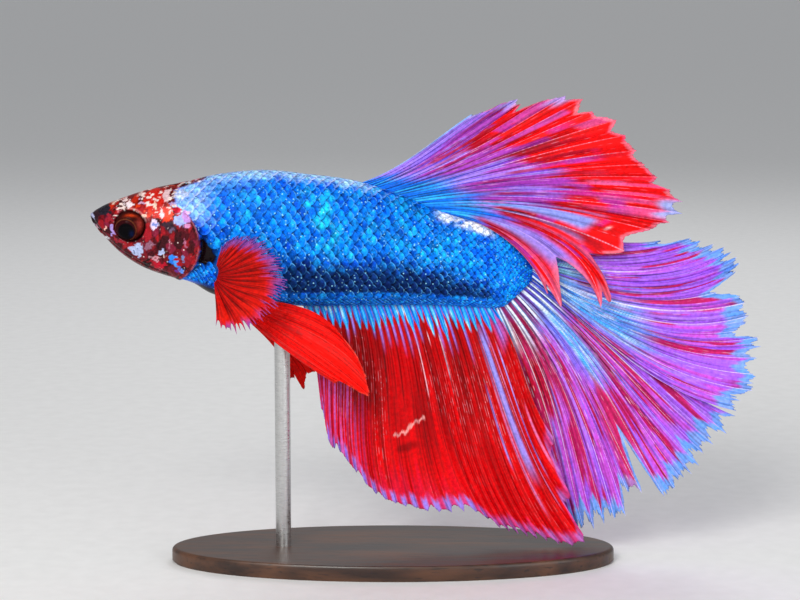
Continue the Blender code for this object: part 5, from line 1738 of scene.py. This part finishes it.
vary(
    tree,
    Base_Color=covered(tree, growth_lines, (*hex_colour("#140A06"), 1.0), dark_pores),
    Roughness=add_node(tree, "ShaderNodeMapRange", (growth, 0.3, 0.7, 0.34, 0.5)),
    Normal=add_node(
        tree, "ShaderNodeBump", {"Strength": 0.3, "Distance": 0.05 * MM, "Height": pores}, invert=True
    ),
)
foot.data.materials.append(walnut)

rod_low, rod_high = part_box("stand_rod")
rod_centre = (rod_low + rod_high) / 2 / MM
rod_radius = (rod_high.x - rod_low.x) / 2 / MM
ROD_RISE = 0.6  # how far the rod rises past its solid, into the skin
ROD_BEVEL = 0.1
rod_foot, rod_top = rod_low.z / MM, rod_high.z / MM + ROD_RISE
heights = np.linspace(rod_foot + ROD_BEVEL, rod_top, 40)
rod_profile = [(rod_radius - ROD_BEVEL, rod_foot)] + [(rod_radius, z) for z in heights]
rod = turned("stand_pillar", (rod_centre.x, rod_centre.y), rod_profile, 64, (1.0, 1.0), "stand_rod")

# Stainless steel, brushed round the rod: fine scratches, 0.06 mm apart, drawn at 0.15 mm to show.
steel, tree = new_material("brushed_stainless_steel", Metallic=1.0, Roughness=0.3, Anisotropic=0.4)
place = add_node(tree, "ShaderNodeTexCoord", output="Object")
round_rod = add_node(tree, "ShaderNodeMapping", {"Vector": place, "Scale": (0.2, 0.2, 1.0)})
brushing = add_node(
    tree, "ShaderNodeTexNoise", {"Vector": round_rod, "Scale": 1 / (0.15 * MM), "Detail": 3.0}
)
vary(
    tree,
    Base_Color=add_node(tree, "ShaderNodeMapRange", (brushing, 0.3, 0.7, 0.5, 0.64)),
    Roughness=add_node(tree, "ShaderNodeMapRange", (brushing, 0.3, 0.7, 0.24, 0.42)),
    Normal=add_node(tree, "ShaderNodeBump", {"Strength": 0.15, "Distance": 0.02 * MM, "Height": brushing}),
)
rod.data.materials.append(steel)

# -------------------------------------------------------------------------------------------------- studio
# A matt, pale sweep of paper under soft boxes: a broad key above and in front, a fill, and a rim behind.

PAPER_HALF = 30.0
paper_corners = [(PAPER_HALF * x, PAPER_HALF * y, 0) for x, y in ((-1, -1), (1, -1), (1, 1), (-1, 1))]
paper_mesh = bpy.data.meshes.new("paper_sweep")
paper_mesh.from_pydata(paper_corners, [], [(0, 1, 2, 3)])
paper = bpy.data.objects.new("paper_sweep", paper_mesh)
bpy.context.scene.collection.objects.link(paper)
paper_finish, tree = new_material("matt_pale_paper", Roughness=0.9)
place = add_node(tree, "ShaderNodeTexCoord", output="Object")
tooth = add_node(tree, "ShaderNodeTexNoise", {"Vector": place, "Scale": 1 / (2 * MM), "Detail": 3.0})
vary(tree, Base_Color=add_node(tree, "ShaderNodeMapRange", (tooth, 0.3, 0.7, 0.84, 0.88)))
paper_mesh.materials.append(paper_finish)

world = bpy.data.worlds.new("studio_air")
world.use_nodes = True
world.node_tree.nodes["Background"].inputs["Color"].default_value = (*hex_colour("#E9EBEE"), 1.0)
world.node_tree.nodes["Background"].inputs["Strength"].default_value = 0.47
bpy.context.scene.world = world
bpy.context.scene.view_settings.view_transform = "Standard"


def aimed(thing, place, target):
    """Puts a light or the camera at a place, in millimetres, looking at a target."""
    thing.location = [value * MM for value in place]
    way = [b - a for a, b in zip(place, target)]
    rise, turn = math.atan2(way[2], math.hypot(way[0], way[1])), math.atan2(way[1], way[0])
    thing.rotation_euler = (math.pi / 2 + rise, 0.0, turn - math.pi / 2)
    return thing


def soft_box(name, place, size, power, colour="#FFFFFF"):
    light = bpy.data.lights.new(name, "AREA")
    light.size = size * MM
    light.energy = power
    light.color = hex_colour(colour)
    box = bpy.data.objects.new(name, light)
    bpy.context.scene.collection.objects.link(box)
    return aimed(box, place, (0.0, 0.0, 28.0))


soft_box("key_box", (-120.0, -330.0, 230.0), 170.0, 1.12, "#FFFDF8")
soft_box("fill_box", (240.0, -280.0, 60.0), 220.0, 0.45)
soft_box("rim_box", (60.0, 260.0, 300.0), 200.0, 0.3)

camera_data = bpy.data.cameras.new("camera")
camera_data.lens = 100.0
camera_data.sensor_width = 36.0
camera_data.clip_start = 0.01
camera = bpy.data.objects.new("camera", camera_data)
bpy.context.scene.collection.objects.link(camera)
bpy.context.scene.camera = aimed(camera, (-2.28, -225.8, 59.1), (-2.28, 0.0, 27.4))
